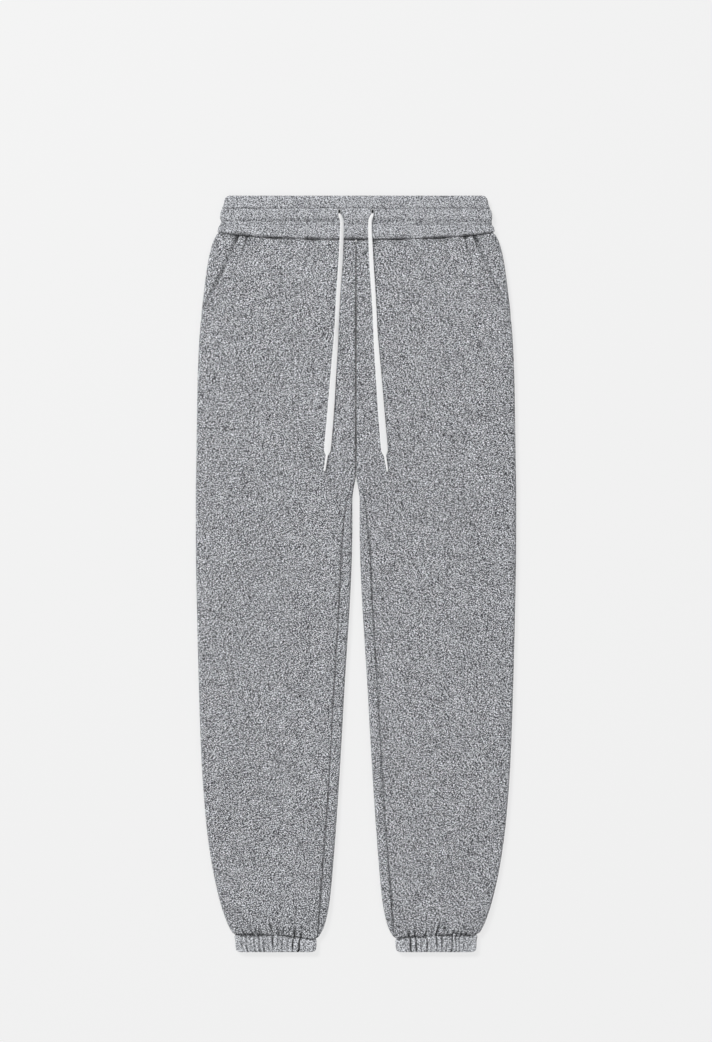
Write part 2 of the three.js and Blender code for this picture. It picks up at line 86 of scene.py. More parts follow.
# Half-widths of the laid garment: outer edge, and half of the gap between the legs.
OUTLINE = table(
    "down outer gap",
    (0, 173.2, 0),
    (4, 175.4, 0),
    (9, 176.8, 0),
    (14, 178.4, 0),
    (17.5, 180.4, 0),
    (25, 181.8, 0),
    (34, 182, 0),
    (37.5, 182.6, 0),
    (42, 184.2, 0),
    (50, 186, 0),
    (55, 188.8, 0),
    (62, 192, 0),
    (70, 194.5, 0),
    (80, 197, 0),
    (100, 200.4, 0),
    (127, 203.9, 0),
    (165, 208.2, 0),
    (207, 211.1, 0),
    (247, 212.6, 0),
    (379.5, 214.8, 0),
    (383, 214.9, 1.1),
    (387, 215, 2.1),
    (391, 215, 2.9),
    (396, 215, 3.6),
    (407, 215, 4.9),
    (440, 215, 4.8),
    (488, 214.8, 5.6),
    (542, 213.8, 8),
    (649, 211.2, 14.7),
    (756, 207.4, 20.8),
    (837, 201.5, 26),
    (890, 194.6, 30),
    (944, 183.3, 35),
    (971, 174.6, 40),
    (984, 168.7, 44.3),
    (993, 163.4, 49.4),
    (999, 162, 52.6),
    (1009, 161.4, 53.4),
    (1012.5, 160, 54.6),
    (1014, 157.5, 57),
)

# How far each layer rolls in towards the centre seam above the fork, in degrees.
CENTRE_ROLL = table(
    "down top bottom",
    (50, 24, 14),
    (180, 30, 14),
    (290, 58, 18),
    (350, 80, 50),
    (379.5, 90, 90),
)

# The inseam lies on the front, this far in from each leg's inner edge.
INSEAM = table(
    "down inset sink",
    (379.5, 0, 0.9),
    (415, 8, 1.3),
    (455, 12.4, 2.2),
    (490, 14.2, 2.2),
    (560, 14.1, 2.0),
    (700, 13.8, 1.8),
    (850, 13.5, 1.9),
    (925, 13.4, 2.3),
    (971, 9.8, 2.6),
    (982, 6.5, 2.6),
    (994, 1.5, 2.4),
)

# The slant pocket opening, from the waist seam to the outer fold.
POCKET_EDGE = table(
    "down across",
    (40, 151.5),
    (54, 156.5),
    (73, 165),
    (89, 171.5),
    (117, 184.8),
    (128, 190.6),
    (175, 214),
)
POCKET_END_DOWN = 128

# The hem's stitching beside the pocket's edge: how far in, and how deep it draws the cloth.
HEM_LINE = table(
    "down inset groove",
    (50, 10.4, 2.4),
    (57, 11.2, 2.6),
    (65, 13.6, 2.0),
    (70, 14.2, 1.3),
    (76, 13.8, 0.6),
    (87, 14.2, 0.3),
    (104, 14.2, 0.15),
    (175, 13, 0),
)

# Creases of the front panels: troughs with a negative rise, ridges with a positive one.
CREASES = {
    "right": table(
        "across down to_across to_down half rise",
        (16, 398, 92, 362, 20, -1.5),
        (20, 432, 118, 452, 18, -1.1),
        (30, 500, 74, 560, 17, -0.9),
        (168, 196, 108, 250, 20, -1.0),
        (74, 668, 158, 640, 22, -1.0),
        (182, 842, 150, 930, 20, -1.4),
        (60, 800, 118, 826, 20, -0.8),
    ),
    "left": table(
        "across down to_across to_down half rise",
        (15, 404, 84, 374, 19, -1.4),
        (24, 446, 132, 440, 20, -1.2),
        (34, 520, 66, 592, 18, -0.8),
        (160, 210, 100, 244, 18, -0.9),
        (84, 690, 148, 672, 20, -0.9),
        (178, 860, 146, 938, 22, -1.5),
        (66, 770, 126, 788, 18, -0.7),
    ),
}

# Gathers that the elastic of a cuff draws across its front and up into the leg.
GATHERS = {
    "right": table(
        "across half depth above",
        (153.6, 2.2, 1.2, 10),
        (147.7, 2.2, 2.2, 26),
        (142.4, 1.8, 1.7, 14),
        (137, 2.2, 2.1, 30),
        (130.4, 1.9, 1.8, 18),
        (124.8, 2.1, 2.2, 24),
        (118, 2.2, 1.1, 12),
        (110.8, 2.2, 2.0, 32),
        (103, 2.1, 1.5, 20),
        (96.3, 2.2, 1.6, 28),
        (89, 2.1, 1.1, 14),
        (82.3, 2.0, 2.6, 20),
        (73.3, 2.2, 2.7, 16),
        (64.5, 2.4, 0.8, 8),
    ),
    "left": table(
        "across half depth above",
        (152.4, 2.0, 1.1, 10),
        (146.2, 2.2, 1.9, 18),
        (140.2, 2.0, 2.0, 28),
        (134.4, 1.9, 1.6, 16),
        (128.4, 2.2, 2.3, 30),
        (121.6, 2.1, 1.4, 18),
        (115, 2.0, 1.9, 24),
        (107.6, 2.2, 2.2, 28),
        (100, 2.0, 1.2, 14),
        (93.4, 2.2, 1.9, 26),
        (85.8, 2.1, 1.2, 16),
        (79, 2.0, 2.4, 20),
        (71, 2.2, 2.5, 14),
        (63.5, 2.4, 0.8, 8),
    ),
}
GATHER_SHARE_ON_LEG = 0.95

# How deep the waistband's and cuffs' cloth turns down where the painted shade in a seam is at its
# darkest.
SEAM_SHADE_FULL_DEPTH = 3.4
CUFF_PUFF = {"rise": 1.1, "down": 962, "half": 34}

# How hard the waist seam draws the cloth in, from the wearer's right to left: 1 is a full turn.
WAIST_PULL = table(
    "across pull",
    (-186, 0.55),
    (-160, 0.95),
    (-147, 1.45),
    (-139, 0.9),
    (-131, 0.35),
    (-123, 1.1),
    (-112, 1.4),
    (-98, 1.0),
    (-83, 0.6),
    (-75, 0.2),
    (-67, 1.0),
    (-58, 1.3),
    (-42, 0.75),
    (-16, 0.8),
    (-2, 1.7),
    (6, 1.6),
    (15, 0.8),
    (42, 0.7),
    (58, 1.25),
    (70, 0.75),
    (78, 0.2),
    (87, 0.7),
    (102, 1.15),
    (118, 1.45),
    (126, 0.85),
    (134, 0.35),
    (148, 1.45),
    (160, 1.0),
    (188, 0.7),
)

# The pocket's mouth gapes at its top: how far it opens, and how deep the facing falls beside it.
POCKET_MOUTH = table(
    "down open dip",
    (50, 1.5, 3.2),
    (58, 1.4, 3.1),
    (63, 0.6, 2.2),
    (70, 0.2, 1.9),
    (90, 0, 2.2),
    (110, 0, 2.3),
    (128, 0, 2.4),
    (140, 0, 1.3),
    (175, 0, 0.5),
)

# Heights at which the waistband is stitched through, its one softer groove, and the low dip
# above its first row.
BAND_STITCH_ROWS = (17.5, 39.0)
BAND_SOFT_GROOVE = {"down": 35.1, "depth": 2.4, "half": 4.8, "clear_of_centre": 20, "fade": 8}
BAND_DIP = {"down": 11, "depth": 0.5, "half": 5.5}

# The centre seam's turn-down, and the painted shade beside it: its depth, how dark the shade, and how far
# it reaches.
CENTRE_SINK = table(
    "down depth shade reach",
    (50, 0.9, 0.85, 1.8),
    (140, 1.2, 0.95, 1.9),
    (180, 1.4, 1.0, 2.1),
    (290, 1.4, 1.2, 2.6),
    (340, 0.8, 1.4, 3.2),
    (379.5, 0.2, 1.5, 3.8),
)

EYELET = {"across": 22.2, "down": 21.9, "wide": 2.1, "tall": 3.5, "rim": 0.5, "wraps": 26}

# The drawcord's route: first up through the eyelet, then down the front in the frame's points.
CORD_START = table(
    "across down up",
    (22.3, 24.3, 5.8),
    (22.3, 24.4, 8.2),
    (22.25, 24.7, 10.4),
    (22.1, 25.7, 12.0),
)
CORD_ROUTE = table(
    "across down up",
    (21.6, 27.2, 12.5),
    (19.2, 33, 11.6),
    (18.8, 45, 11.5),
    (19.4, 62, 11.3),
    (20.6, 88, 10.7),
    (24.1, 140, 10.65),
    (26.8, 193.6, 10.65),
    (30.8, 247, 10.65),
    (34.8, 301, 10.65),
    (37.1, 327.6, 10.65),
    (38.9, 348.4, 10.65),
)
CORD_SHAPE = table(
    "down wide thick turn",
    (23, 1.8, 1.5, 0),
    (25.5, 3.2, 1.8, 5),
    (30, 4.9, 2.3, 14),
    (45, 5.4, 2.4, 18),
    (90, 6.2, 2.2, 14),
    (150, 6.0, 2.2, 8),
    (180, 6.3, 2.3, 22),
    (200, 7.0, 2.1, 10),
    (247, 8.2, 1.9, 4),
    (290, 9.2, 1.7, 0),
    (339.5, 9.6, 1.6, 0),
    (343, 8.6, 1.8, 0),
    (348.4, 3.6, 2.6, 0),
)
CORD_TIP = {"length": 21, "to_across": 42.2}
TIP_SHAPE = table(
    "share wide",
    (0, 3.4),
    (0.06, 3.4),
    (0.5, 3.0),
    (0.94, 2.6),
    (1, 1.5),
)


class JoggerSizes(bpy.types.PropertyGroup):
    """Sizes that a user may change."""

    cloth_wall: bpy.props.FloatProperty(
        name="Cloth wall", description="Thickness of the fleece", default=0.0028, unit="LENGTH")
    seam_depth: bpy.props.FloatProperty(
        name="Seam depth", description="How far cloth turns down into the waist seam",
        default=0.0030, unit="LENGTH")
    grid: bpy.props.FloatProperty(
        name="Grid", description="Spacing of the cloth's mesh down the legs",
        default=0.0058, unit="LENGTH")
    hem_rise: bpy.props.FloatProperty(
        name="Hem rise", description="How far a pocket's hem stands up",
        default=0.0007, unit="LENGTH")
    stitch_pitch: bpy.props.FloatProperty(
        name="Stitch pitch", description="From one stitch to the next", default=0.003, unit="LENGTH")
    thread: bpy.props.FloatProperty(
        name="Thread", description="Thickness of the sewing thread", default=0.00042, unit="LENGTH")
    cord_width: bpy.props.FloatProperty(
        name="Cord width", description="Width of the flat drawcord", default=0.0095, unit="LENGTH")
    wale: bpy.props.FloatProperty(
        name="Wale", description="Width of one knitted stitch", default=0.0012, unit="LENGTH")
    course: bpy.props.FloatProperty(
        name="Course", description="Height of one knitted stitch", default=0.00095, unit="LENGTH")


class JoggerColours(bpy.types.PropertyGroup):
    """Colours that a user may change, in linear light."""

    marl_dark: bpy.props.FloatVectorProperty(
        name="Dark fibre", description="Darkest fibres of the marl",
        default=(0.02, 0.021, 0.024), size=3, subtype="COLOR")
    marl_mid: bpy.props.FloatVectorProperty(
        name="Middle fibre", description="The marl's middle grey",
        default=(0.178, 0.183, 0.199), size=3, subtype="COLOR")
    marl_light: bpy.props.FloatVectorProperty(
        name="Light fibre", description="Lightest fibres of the marl",
        default=(0.84, 0.86, 0.90), size=3, subtype="COLOR")
    cord: bpy.props.FloatVectorProperty(
        name="Cord", description="White of the drawcord",
        default=(0.812, 0.818, 0.822), size=3, subtype="COLOR")
    thread: bpy.props.FloatVectorProperty(
        name="Thread", description="Grey of the sewing thread",
        default=(0.21, 0.214, 0.225), size=3, subtype="COLOR")
    eyelet: bpy.props.FloatVectorProperty(
        name="Eyelet", description="Pale thread of the worked eyelets",
        default=(0.56, 0.565, 0.58), size=3, subtype="COLOR")
    floor: bpy.props.FloatVectorProperty(
        name="Floor", description="The pale floor", default=(0.15, 0.15, 0.15), size=3, subtype="COLOR")


def sizes():
    """The scene's sizes."""
    return bpy.context.scene.jogger_sizes


def colours():
    """The scene's colours."""
    return bpy.context.scene.jogger_colours


def value_at(rows, column, down, key="down"):
    """A smooth value from a table by one of its columns, with no overshoot between rows."""
    x, y = rows[key], rows[column]
    step = np.diff(x)
    rise = np.diff(y) / step
    before, after = rise[:-1], rise[1:]
    total = np.where(before * after > 0, before + after, 1)
    inner = np.where(before * after > 0, 2 * before * after / total, 0)
    slope = np.concatenate([rise[:1], inner, rise[-1:]])
    down = np.clip(down, x[0], x[-1])
    i = np.clip(np.searchsorted(x, down, side="right") - 1, 0, len(x) - 2)
    t = (down - x[i]) / step[i]
    blend = y[i] + (y[i + 1] - y[i]) * t * t * (3 - 2 * t)
    return blend + step[i] * t * (1 - t) * (slope[i] * (1 - t) - slope[i + 1] * t)


def bell(away, reach):
    """A soft bump of height 1 that falls to 0 at a distance of one reach."""
    return np.clip(1 - (away / reach) ** 2, 0, None) ** 2


def lip(distance, depth, reach):
    """How far a cloth's face turns down beside its edge, as a quarter round."""
    near = np.clip(1 - distance / reach, 0, 1)
    return depth * (1 - np.sqrt(1 - near ** 2))


def turn_down(distance, depth, reach):
    """How far a cloth's face turns down into a seam, steeply enough to lie in shade."""
    return depth * np.clip(1 - distance / reach, 0, 1) ** 1.7


def mottle(x, y, size, seed):
    """Soft random relief from -1 to 1, with humps about one size apart."""
    lattice = np.random.default_rng(seed).uniform(-1, 1, (256, 256))
    u, v = x / size, y / size
    i, j = np.floor(u).astype(int), np.floor(v).astype(int)
    weights = []
    for t in (u - i, v - j):
        weights.append([(1 - t) ** 3 / 6, (3 * t ** 3 - 6 * t ** 2 + 4) / 6,
                        (-3 * t ** 3 + 3 * t ** 2 + 3 * t + 1) / 6, t ** 3 / 6])
    total = 0
    for a in range(4):
        for b in range(4):
            total = total + weights[0][a] * weights[1][b] * lattice[(i + a) % 256, (j + b) % 256]
    return 2 * total


def waist_seam(across):
    """The waist seam's height, lowest at the centre."""
    return 58.6 - 8.3 * (np.abs(across) / 181) ** 2.8


def cuff_seam(across):
    """The cuff seam's height, which tilts a little across the leg."""
    t = np.clip((across - 52) / 111, 0, 1)
    return 996 - 10 * t + 5.5 * t * t


WAIST_SEAM_NEAR = 56
CUFF_SEAM_NEAR = 992


class Section:
    """The outer skin of half the laid garment, walked from the centre or inner fold over
    the top, round the outer fold and back along the underside."""

    def __init__(self, down, laid, roll_top, roll_bottom, inner):
        self.down = down
        self.radius = laid / 2
        self.roll_top = roll_top
        self.inner_top = inner + self.radius * np.sin(roll_top)
        inner_bottom = inner + self.radius * np.sin(roll_bottom)
        outer_bend = value_at(OUTLINE, "outer", down) - self.radius
        self.lengths = (
            self.radius * roll_top,
            outer_bend - self.inner_top,
            self.radius * math.pi,
            outer_bend - inner_bottom,
            self.radius * roll_bottom,
        )
        self.outer_fold = self.lengths[0] + self.lengths[1]
        self.total = sum(self.lengths)

    def skin(self, distance):
        """The turn from straight up, and the point across and up, at a distance walked."""
        rest = np.where(distance > self.total, distance - self.total, distance)
        walked = []
        for length in self.lengths:
            walked.append(np.clip(rest, 0, length))
            rest = rest - length
        turn = (walked[0] + walked[2] + walked[4]) / self.radius - self.roll_top
        centre = self.inner_top + walked[1] - walked[3]
        return turn, centre + self.radius * np.sin(turn), self.radius * (1 + np.cos(turn))

    def place(self, distance, offset, lift, drop=0):
        """Points in millimetres, moved out by offset, down by drop and, facing up, by lift."""
        turn, x, z = self.skin(distance)
        up = lift * np.clip(np.cos(turn), 0, 1) ** 2
        x = x + offset * np.sin(turn)
        z = z + offset * np.cos(turn) + up - drop
        return np.stack(np.broadcast_arrays(x, LENGTH / 2 - self.down, z), axis=-1)


def leg_section(down):
    """The body and legs: two layers that meet at the centre seam or roll at the inner fold."""
    roll = {column: np.radians(value_at(CENTRE_ROLL, column, down)) for column in ("top", "bottom")}
    inner = np.maximum(value_at(OUTLINE, "gap", down), SEAM_GAP / 2)
    return Section(down, CLOTH_LAID, roll["top"], roll["bottom"], inner)


def band_section(down):
    """The waistband, flat from fold to fold."""
    return Section(down, BAND_LAID, 0.0, 0.0, 0.0)


def cuff_section(down):
    """A cuff, a flat tube with both folds half round."""
    return Section(down, CUFF_LAID, math.pi / 2, math.pi / 2, value_at(OUTLINE, "gap", down))


class Spacing:
    """Places along a cloth's width or length: close together at both ends, even between."""

    def __init__(self, start, middle, end):
        share = np.arange(1, middle) / middle
        self.share = np.concatenate([np.zeros(len(start)), share, np.ones(len(end))])
        between = start[-1] * (1 - share) - end[-1] * share
        self.offset = np.concatenate([start, between, -np.array(end[::-1])])

    def across(self, length):
        """Distances for columns, at lengths that are the same or vary over the grid."""
        return self.share[None, :] * length + self.offset[None, :]

    def down(self, length):
        """Distances for rows."""
        return self.share[:, None] * length + self.offset[:, None]


EDGE_STEPS = (0, 0.12, 0.3, 0.5, 0.75, 1.05, 1.4, 1.8, 2.3, 2.9, 3.6, 4.4, 5.3, 6.3, 7.4)
HEM_STEPS = (*EDGE_STEPS, 8.3, 9.2, 10, 10.7, 11.4, 12.1, 12.8, 13.5, 14.2, 14.9, 15.6, 16.5, 17.6)
GATHER_STEPS = (*EDGE_STEPS, 8.6, 9.9, 11.3, 12.8, 14.4, 16.2, 18.2, 20.4, 23, 26, 29.5, 33.5, 38)
ROLL_STEPS = (*EDGE_STEPS, 8.6, 9.8, 11, 12.2, 13.4, 14.8, 16.2, 17.8, 19.4, 21.2, 23, 25)


def new_object(name, mesh):
    """A new object in the scene, at the origin."""
    made = bpy.data.objects.new(name, mesh)
    bpy.context.collection.objects.link(made)
    return made


def mesh_from(name, points, faces, uv, material, fold=None):
    """A smooth mesh object from points in millimetres, with a UV map in metres. The fold of
    each point says how deep it lies in a seam or gather, from 0 to 1, and so how much painted shade its
    colour takes."""
    mesh = bpy.data.meshes.new(name)
    mesh.from_pydata((points * MM).tolist(), [], faces)
    corners = np.empty(len(mesh.loops), int)
    mesh.loops.foreach_get("vertex_index", corners)
    layer = mesh.uv_layers.new(name="Cloth")
    layer.data.foreach_set("uv", (uv[corners] * MM).ravel())
    if fold is not None:
        depth = mesh.attributes.new("Fold", "FLOAT", "POINT")
        depth.data.foreach_set("value", np.clip(fold, 0, 1).ravel())
    mesh.polygons.foreach_set("use_smooth", np.ones(len(mesh.polygons), bool))
    mesh.materials.append(material)
    mesh.update()
    return new_object(name, mesh)


def grid_faces(rows, columns, start, flip):
    """Four-sided faces of a grid of points, numbered row by row."""
    r, c = np.meshgrid(np.arange(rows - 1), np.arange(columns - 1), indexing="ij")
    corner = start + r * columns + c
    quads = np.stack([corner, corner + columns, corner + columns + 1, corner + 1], axis=-1)
    quads = quads.reshape(-1, 4)
    return quads[:, ::-1] if flip else quads


def shell(name, outer, inner, uv, fold, material, side=1):
    """A closed wall of cloth between two grids of points, mirrored where side is -1."""
    rows, columns = outer.shape[:2]
    count = rows * columns
    points = np.concatenate([outer.reshape(-1, 3), inner.reshape(-1, 3)]) * (side, 1, 1)
    numbers = np.arange(count).reshape(rows, columns)
    rim = np.concatenate([numbers[0, :-1], numbers[:-1, -1], numbers[-1, :0:-1], numbers[:0:-1, 0]])
    after = np.roll(rim, -1)
    edge = np.stack([rim, after, after + count, rim + count], axis=-1)
    faces = np.concatenate([grid_faces(rows, columns, 0, False),
                            grid_faces(rows, columns, count, True), edge])
    if side < 0:
        faces = faces[:, ::-1]
    flat = uv.reshape(-1, 2)
    # Each point's fold is its painted shade, kept on the points of both walls.
    deep = np.broadcast_to(fold, (rows, columns)).reshape(-1)
    return mesh_from(name, points, faces.tolist(), np.concatenate([flat, flat]), material,
                     np.concatenate([deep, deep]))


def dress(piece, node):
    """The piece rides on the part's one body and stands for its CAD node."""
    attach(piece, "root")
    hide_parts(node)


def crease_lift(side, x, down):
    """Soft troughs where the front falls into folds."""
    total = 0
    for across, from_down, to_across, to_down, half, rise in zip(*CREASES[side].values()):
        dx, dy = to_across - across, to_down - from_down
        share = ((x - across) * dx + (down - from_down) * dy) / (dx * dx + dy * dy)
        share = np.clip(share, 0, 1)
        away = np.hypot(x - across - share * dx, down - from_down - share * dy)
        total = total + rise * bell(away, half)
    return total


def gather_lift(side, seam_x, above):
    """Gathers by where a column meets the cuff seam, fading up the leg above it."""
    total = 0
    for across, half, depth, reach in zip(*GATHERS[side].values()):
        fade = np.clip(1 - above / reach, 0, 1) * (1 + 0.9 * mottle(seam_x, above, 4.5, 91))
        share = np.where(above > 0, GATHER_SHARE_ON_LEG * np.clip(fade, 0, 1.4), 1)
        total = total - share * depth * 1.2 * bell(seam_x - across, half * 0.85)
    return total


def soft_lift(side, x, down):
    """The uneven lie of soft cloth: long low swells and small dents."""
    seed = 11 if side == "right" else 29
    return 0.45 * mottle(x, down, 58, seed) + 0.16 * mottle(x, down, 19, seed + 1)


def front_lift(side, x, down):
    """Creases and the uneven lie of the cloth together."""
    return crease_lift(side, x, down) + soft_lift(side, x, down)


def seam_wander(along, seed):
    """A share near 1 that varies along a seam, so that its dark line is uneven."""
    return 1 + 0.35 * mottle(along, 0 * along, 14, seed) + 0.2 * mottle(along, 0 * along, 5, seed + 1)


def inseam_distance(section):
    """Where the inseam lies along the skin, from the leg's inner fold."""
    inset = value_at(INSEAM, "inset", section.down)
    r = section.radius
    bend = r * np.arccos(np.clip(1 - inset / r, -1, 1))
    return np.where(inset < r, bend, r * math.pi / 2 + inset - r)


def side_seam_distance(section):
    return section.outer_fold + section.radius * SIDE_SEAM_TURN


def pocket_distance(section):
    """The pocket's edge along the skin: it runs on round the outer fold to the side seam."""
    across = value_at(POCKET_EDGE, "across", section.down)
    beyond = np.clip(section.down - POCKET_EDGE["down"][-1], 0, None)
    flat = across + beyond - section.inner_top + section.lengths[0]
    return np.minimum(flat, side_seam_distance(section))


def front_limits(section):
    start = np.where(section.down > FORK_DOWN, inseam_distance(section), 0)
    return start + SEAM_GAP / 2, pocket_distance(section) - SEAM_GAP / 2


def back_limits(section):
    start = side_seam_distance(section) + SEAM_GAP / 2
    rolled = np.where(section.down > FORK_DOWN, inseam_distance(section), 0)
    return start, section.total + rolled - SEAM_GAP / 2


def cloth_uv(side, distance, down):
    """Each side's cloth is cut from another place of the roll, so their marls differ."""
    shift = 0 if side == "right" else 700
    return np.stack(np.broadcast_arrays(distance + shift, down + shift), axis=-1)


class PanelGrid:
    """A leg panel's grid: sections, distances along the skin, and distances to its edges."""

    def __init__(self, limits, columns, rows, top=waist_seam, bottom=cuff_seam):
        def column_x(down):
            section = leg_section(np.full((1, 1), float(down)))
            start, end = limits(section)
            return section.skin(start + columns.across(end - start))[1]

        self.seam_x = column_x(CUFF_SEAM_NEAR)
        self.top = top(column_x(WAIST_SEAM_NEAR)) + SEAM_GAP / 2
        self.bottom = bottom(self.seam_x) - SEAM_GAP / 2
        self.down = self.top + rows.down(self.bottom - self.top)
        self.section = leg_section(self.down)
        start, end = limits(self.section)
        self.width = end - start
        self.distance = start + columns.across(self.width)
        self.from_start = self.distance - start
        self.from_end = end - self.distance
        self.x = self.section.skin(self.distance)[1]

    def leg_lift(self, side):
        above = self.bottom - self.down
        puff = CUFF_PUFF["rise"] * bell(self.down - CUFF_PUFF["down"], CUFF_PUFF["half"])
        return front_lift(side, self.x, self.down) + gather_lift(side, self.seam_x, above) + puff

    def inseam_sink(self):
        """How deep the inseam draws the cloth in, which starts at the fork."""
        return np.where(self.down < FORK_DOWN, 0, value_at(INSEAM, "sink", self.down))

    def seam_sink(self, side, seed, start_depth, end_depth):
        """The cloth turns down into the seams on its four edges."""
        pull = value_at(WAIST_PULL, "pull", SIDES[side] * self.x, key="across")
        depth = sizes().seam_depth / MM * pull
        waist = turn_down(self.down - self.top, depth, (1.0 + 3.1 * pull) * seam_wander(self.x, seed))
        drawn = 0.95 + 1.1 * mottle(self.x, 0 * self.x, 4.5, seed + 8)
        cuff = turn_down(self.bottom - self.down, 2.8 * np.clip(drawn, 0.1, 1.5),
                         3.6 * seam_wander(self.x, seed + 7))
        start_reach = (0.7 + start_depth) * seam_wander(self.down, seed + 3)
        start = turn_down(self.from_start, start_depth, start_reach)
        end_reach = (0.7 + end_depth) * seam_wander(self.down, seed + 5)
        end = turn_down(self.from_end, end_depth, end_reach)
        return np.maximum(np.maximum(waist, cuff), np.maximum(start, end))

    def shell(self, name, side, offset, lift, material, drop=0, painted_shade_share=1, painted_shade_more=0):
        wall = sizes().cloth_wall / MM
        outer = self.section.place(self.distance, offset, lift, drop)
        deepest = 0.1 - self.section.radius
        inner_offset = np.minimum(np.maximum(np.minimum(offset, 0) - wall, deepest), offset - 0.3)
        inner = self.section.place(self.distance, inner_offset, lift, drop)
        uv = cloth_uv(side, self.distance, self.down)
        gathers = -gather_lift(side, self.seam_x, self.bottom - self.down)
        # Painted shade: darker where the cloth turns down at its edges, in the gathers, and where more is
        # given.
        sunk = np.clip(-offset / 3.1, 0, 1) ** 1.2
        fold = painted_shade_share * sunk + np.clip(gathers / 2.3, 0, 1) + painted_shade_more
        piece = shell(name, outer, inner, uv, fold, material, SIDES[side])
        return piece


def pocket_hem(grid):
    """The turned hem beside the pocket's edge: a little puffed, and stitched along its inside."""
    fade = np.clip((POCKET_END_DOWN + 14 - grid.down) / 60, 0, 1)
    inset = value_at(HEM_LINE, "inset", grid.down)
    share = np.clip(grid.from_end / inset, 0, 1)
    puff = fade * sizes().hem_rise / MM * np.sin(math.pi * share)
    groove = value_at(HEM_LINE, "groove", grid.down) * bell(grid.from_end - inset, 2.5)
    return puff - groove


def row_spacing():
    """Rows from the waist seam to the cuff seam, close together over the cuff's gathers."""
    return Spacing(EDGE_STEPS, round(0.9 / sizes().grid), GATHER_STEPS)


def beside_centre(across):
    """A share of 0 between the drawcords, where the soft groove ends, and 1 beyond them."""
    groove = BAND_SOFT_GROOVE
    return np.clip((np.abs(across) - groove["clear_of_centre"]) / groove["fade"], 0, 1)


def band_relief(across, down):
    """The waistband's lobes: stitched-through rows, puffs between them, one soft groove."""
    relief = 0
    for number, row in enumerate(BAND_STITCH_ROWS):
        depth = 1.3 + 0.8 * mottle(across, 0 * across, 6, 50 + number)
        relief = relief - depth * bell(down - row, 1.8)
    lobes = (0, *BAND_STITCH_ROWS, waist_seam(across))
    for number in range(len(lobes) - 1):
        share = np.clip((down - lobes[number]) / (lobes[number + 1] - lobes[number]), 0, 1)
        relief = relief + 0.95 * np.sin(math.pi * share) ** 0.8
    groove = BAND_SOFT_GROOVE
    clear = beside_centre(across)
    fullness = 0.8 + 0.6 * mottle(across, 0 * across, 34, 63)
    relief = relief - clear * fullness * groove["depth"] * bell(down - groove["down"], groove["half"])
    relief = relief - BAND_DIP["depth"] * bell(down - BAND_DIP["down"], BAND_DIP["half"])
    pucker = mottle(across, down, 4.2, 61) * bell(down % 21.8 - 16.4, 7)
    return relief + 0.25 * pucker + 0.3 * mottle(across, down, 24, 62)


def band_grid(is_front):
    """Distances, heights and signed places across for one half of the waistband."""
    columns = Spacing((0, 0.5), 110, (*EDGE_STEPS, 8.6))
    rows = Spacing(EDGE_STEPS, 44, EDGE_STEPS)
    fold = float(band_section(WAIST_SEAM_NEAR).total) / 2 - SEAM_GAP / 2
    reach = columns.across(fold)
    signed = np.concatenate([-reach[:, :0:-1], reach], axis=1)
    seam_at = band_section(WAIST_SEAM_NEAR).skin(np.abs(signed))[1]
    down = rows.down(waist_seam(seam_at) - SEAM_GAP / 2)
    section = band_section(down)
    distance = np.abs(signed) * (section.total / 2 - SEAM_GAP / 2) / fold
    sign = np.sign(signed) + (signed == 0)
    if not is_front:
        distance = section.total - distance
        sign, distance, down = sign[:, ::-1], distance[:, ::-1], down[:, ::-1]
        section = band_section(down)
    return section, distance, down, np.broadcast_to(sign, distance.shape)


def waistband_half(name, is_front, material):
    section, distance, down, sign = band_grid(is_front)
    turn, x, _ = section.skin(distance)
    across = x * sign
    relief = band_relief(across, down) * np.clip(np.cos(turn) + 0.6, 0, 1)
    below = waist_seam(across) - SEAM_GAP / 2 - down
    pull = value_at(WAIST_PULL, "pull", across, key="across")
    depth = 3.1 * np.minimum(pull + 0.05, 1.2)
    seam = turn_down(below, depth, (1.1 + 2.5 * pull) * seam_wander(across, 40))
    hem = lip(down, BAND_WALL / 2 - 0.05, BAND_WALL / 2)
    outer = section.place(distance, relief * (1 - bell(down, 4)) - np.maximum(seam, hem), 0)
    # Painted shade: darker in the waist seam, along the stitched rows and in the soft groove.
    stitched = sum(0.5 * bell(down - row, 1.6) for row in BAND_STITCH_ROWS)
    uneven = 0.6 + 0.8 * mottle(across, down, 9, 64)
    groove = BAND_SOFT_GROOVE
    soft = 0.26 * beside_centre(across) * bell(down - groove["down"], groove["half"] * 0.7)
    fold = np.clip(seam / SEAM_SHADE_FULL_DEPTH, 0, 1) ** 1.2 + (stitched + soft) * np.clip(uneven, 0, 2)
    # Painted shade along the rounded top edge, which faces the light.
    fold = fold + 0.3 * bell(down, 1.8)
    inner = section.place(distance, hem - BAND_WALL, 0)
    for points in (outer, inner):
        points[..., 0] *= sign
    uv = np.stack([distance * sign, down], axis=-1)
    piece = shell(name, outer, inner, uv, fold, material)
    return piece


def cut_bores(piece):
    """Cuts the drawcord's holes through the front of the waistband."""
    cutter_mesh = bpy.data.meshes.new("bores")
    made = bmesh.new()
    for sign in SIDES.values():
        placed = bmesh.ops.create_cone(made, cap_ends=True, segments=24, radius1=MM, radius2=MM,
                                       depth=3 * BAND_WALL * MM)
        bmesh.ops.scale(made, verts=placed["verts"], vec=(EYELET["wide"] - 0.3, EYELET["tall"] - 0.3, 1))
        move = Vector((sign * EYELET["across"], LENGTH / 2 - EYELET["down"], BAND_LAID)) * MM
        bmesh.ops.translate(made, verts=placed["verts"], vec=move)
    made.to_mesh(cutter_mesh)
    made.free()
    cutter = new_object("bores", cutter_mesh)
    cut = piece.modifiers.new("bores", "BOOLEAN")
    cut.operation = "DIFFERENCE"
    cut.object = cutter
    cut.solver = "EXACT"
    apply_modifiers(piece)
    bpy.data.objects.remove(cutter)


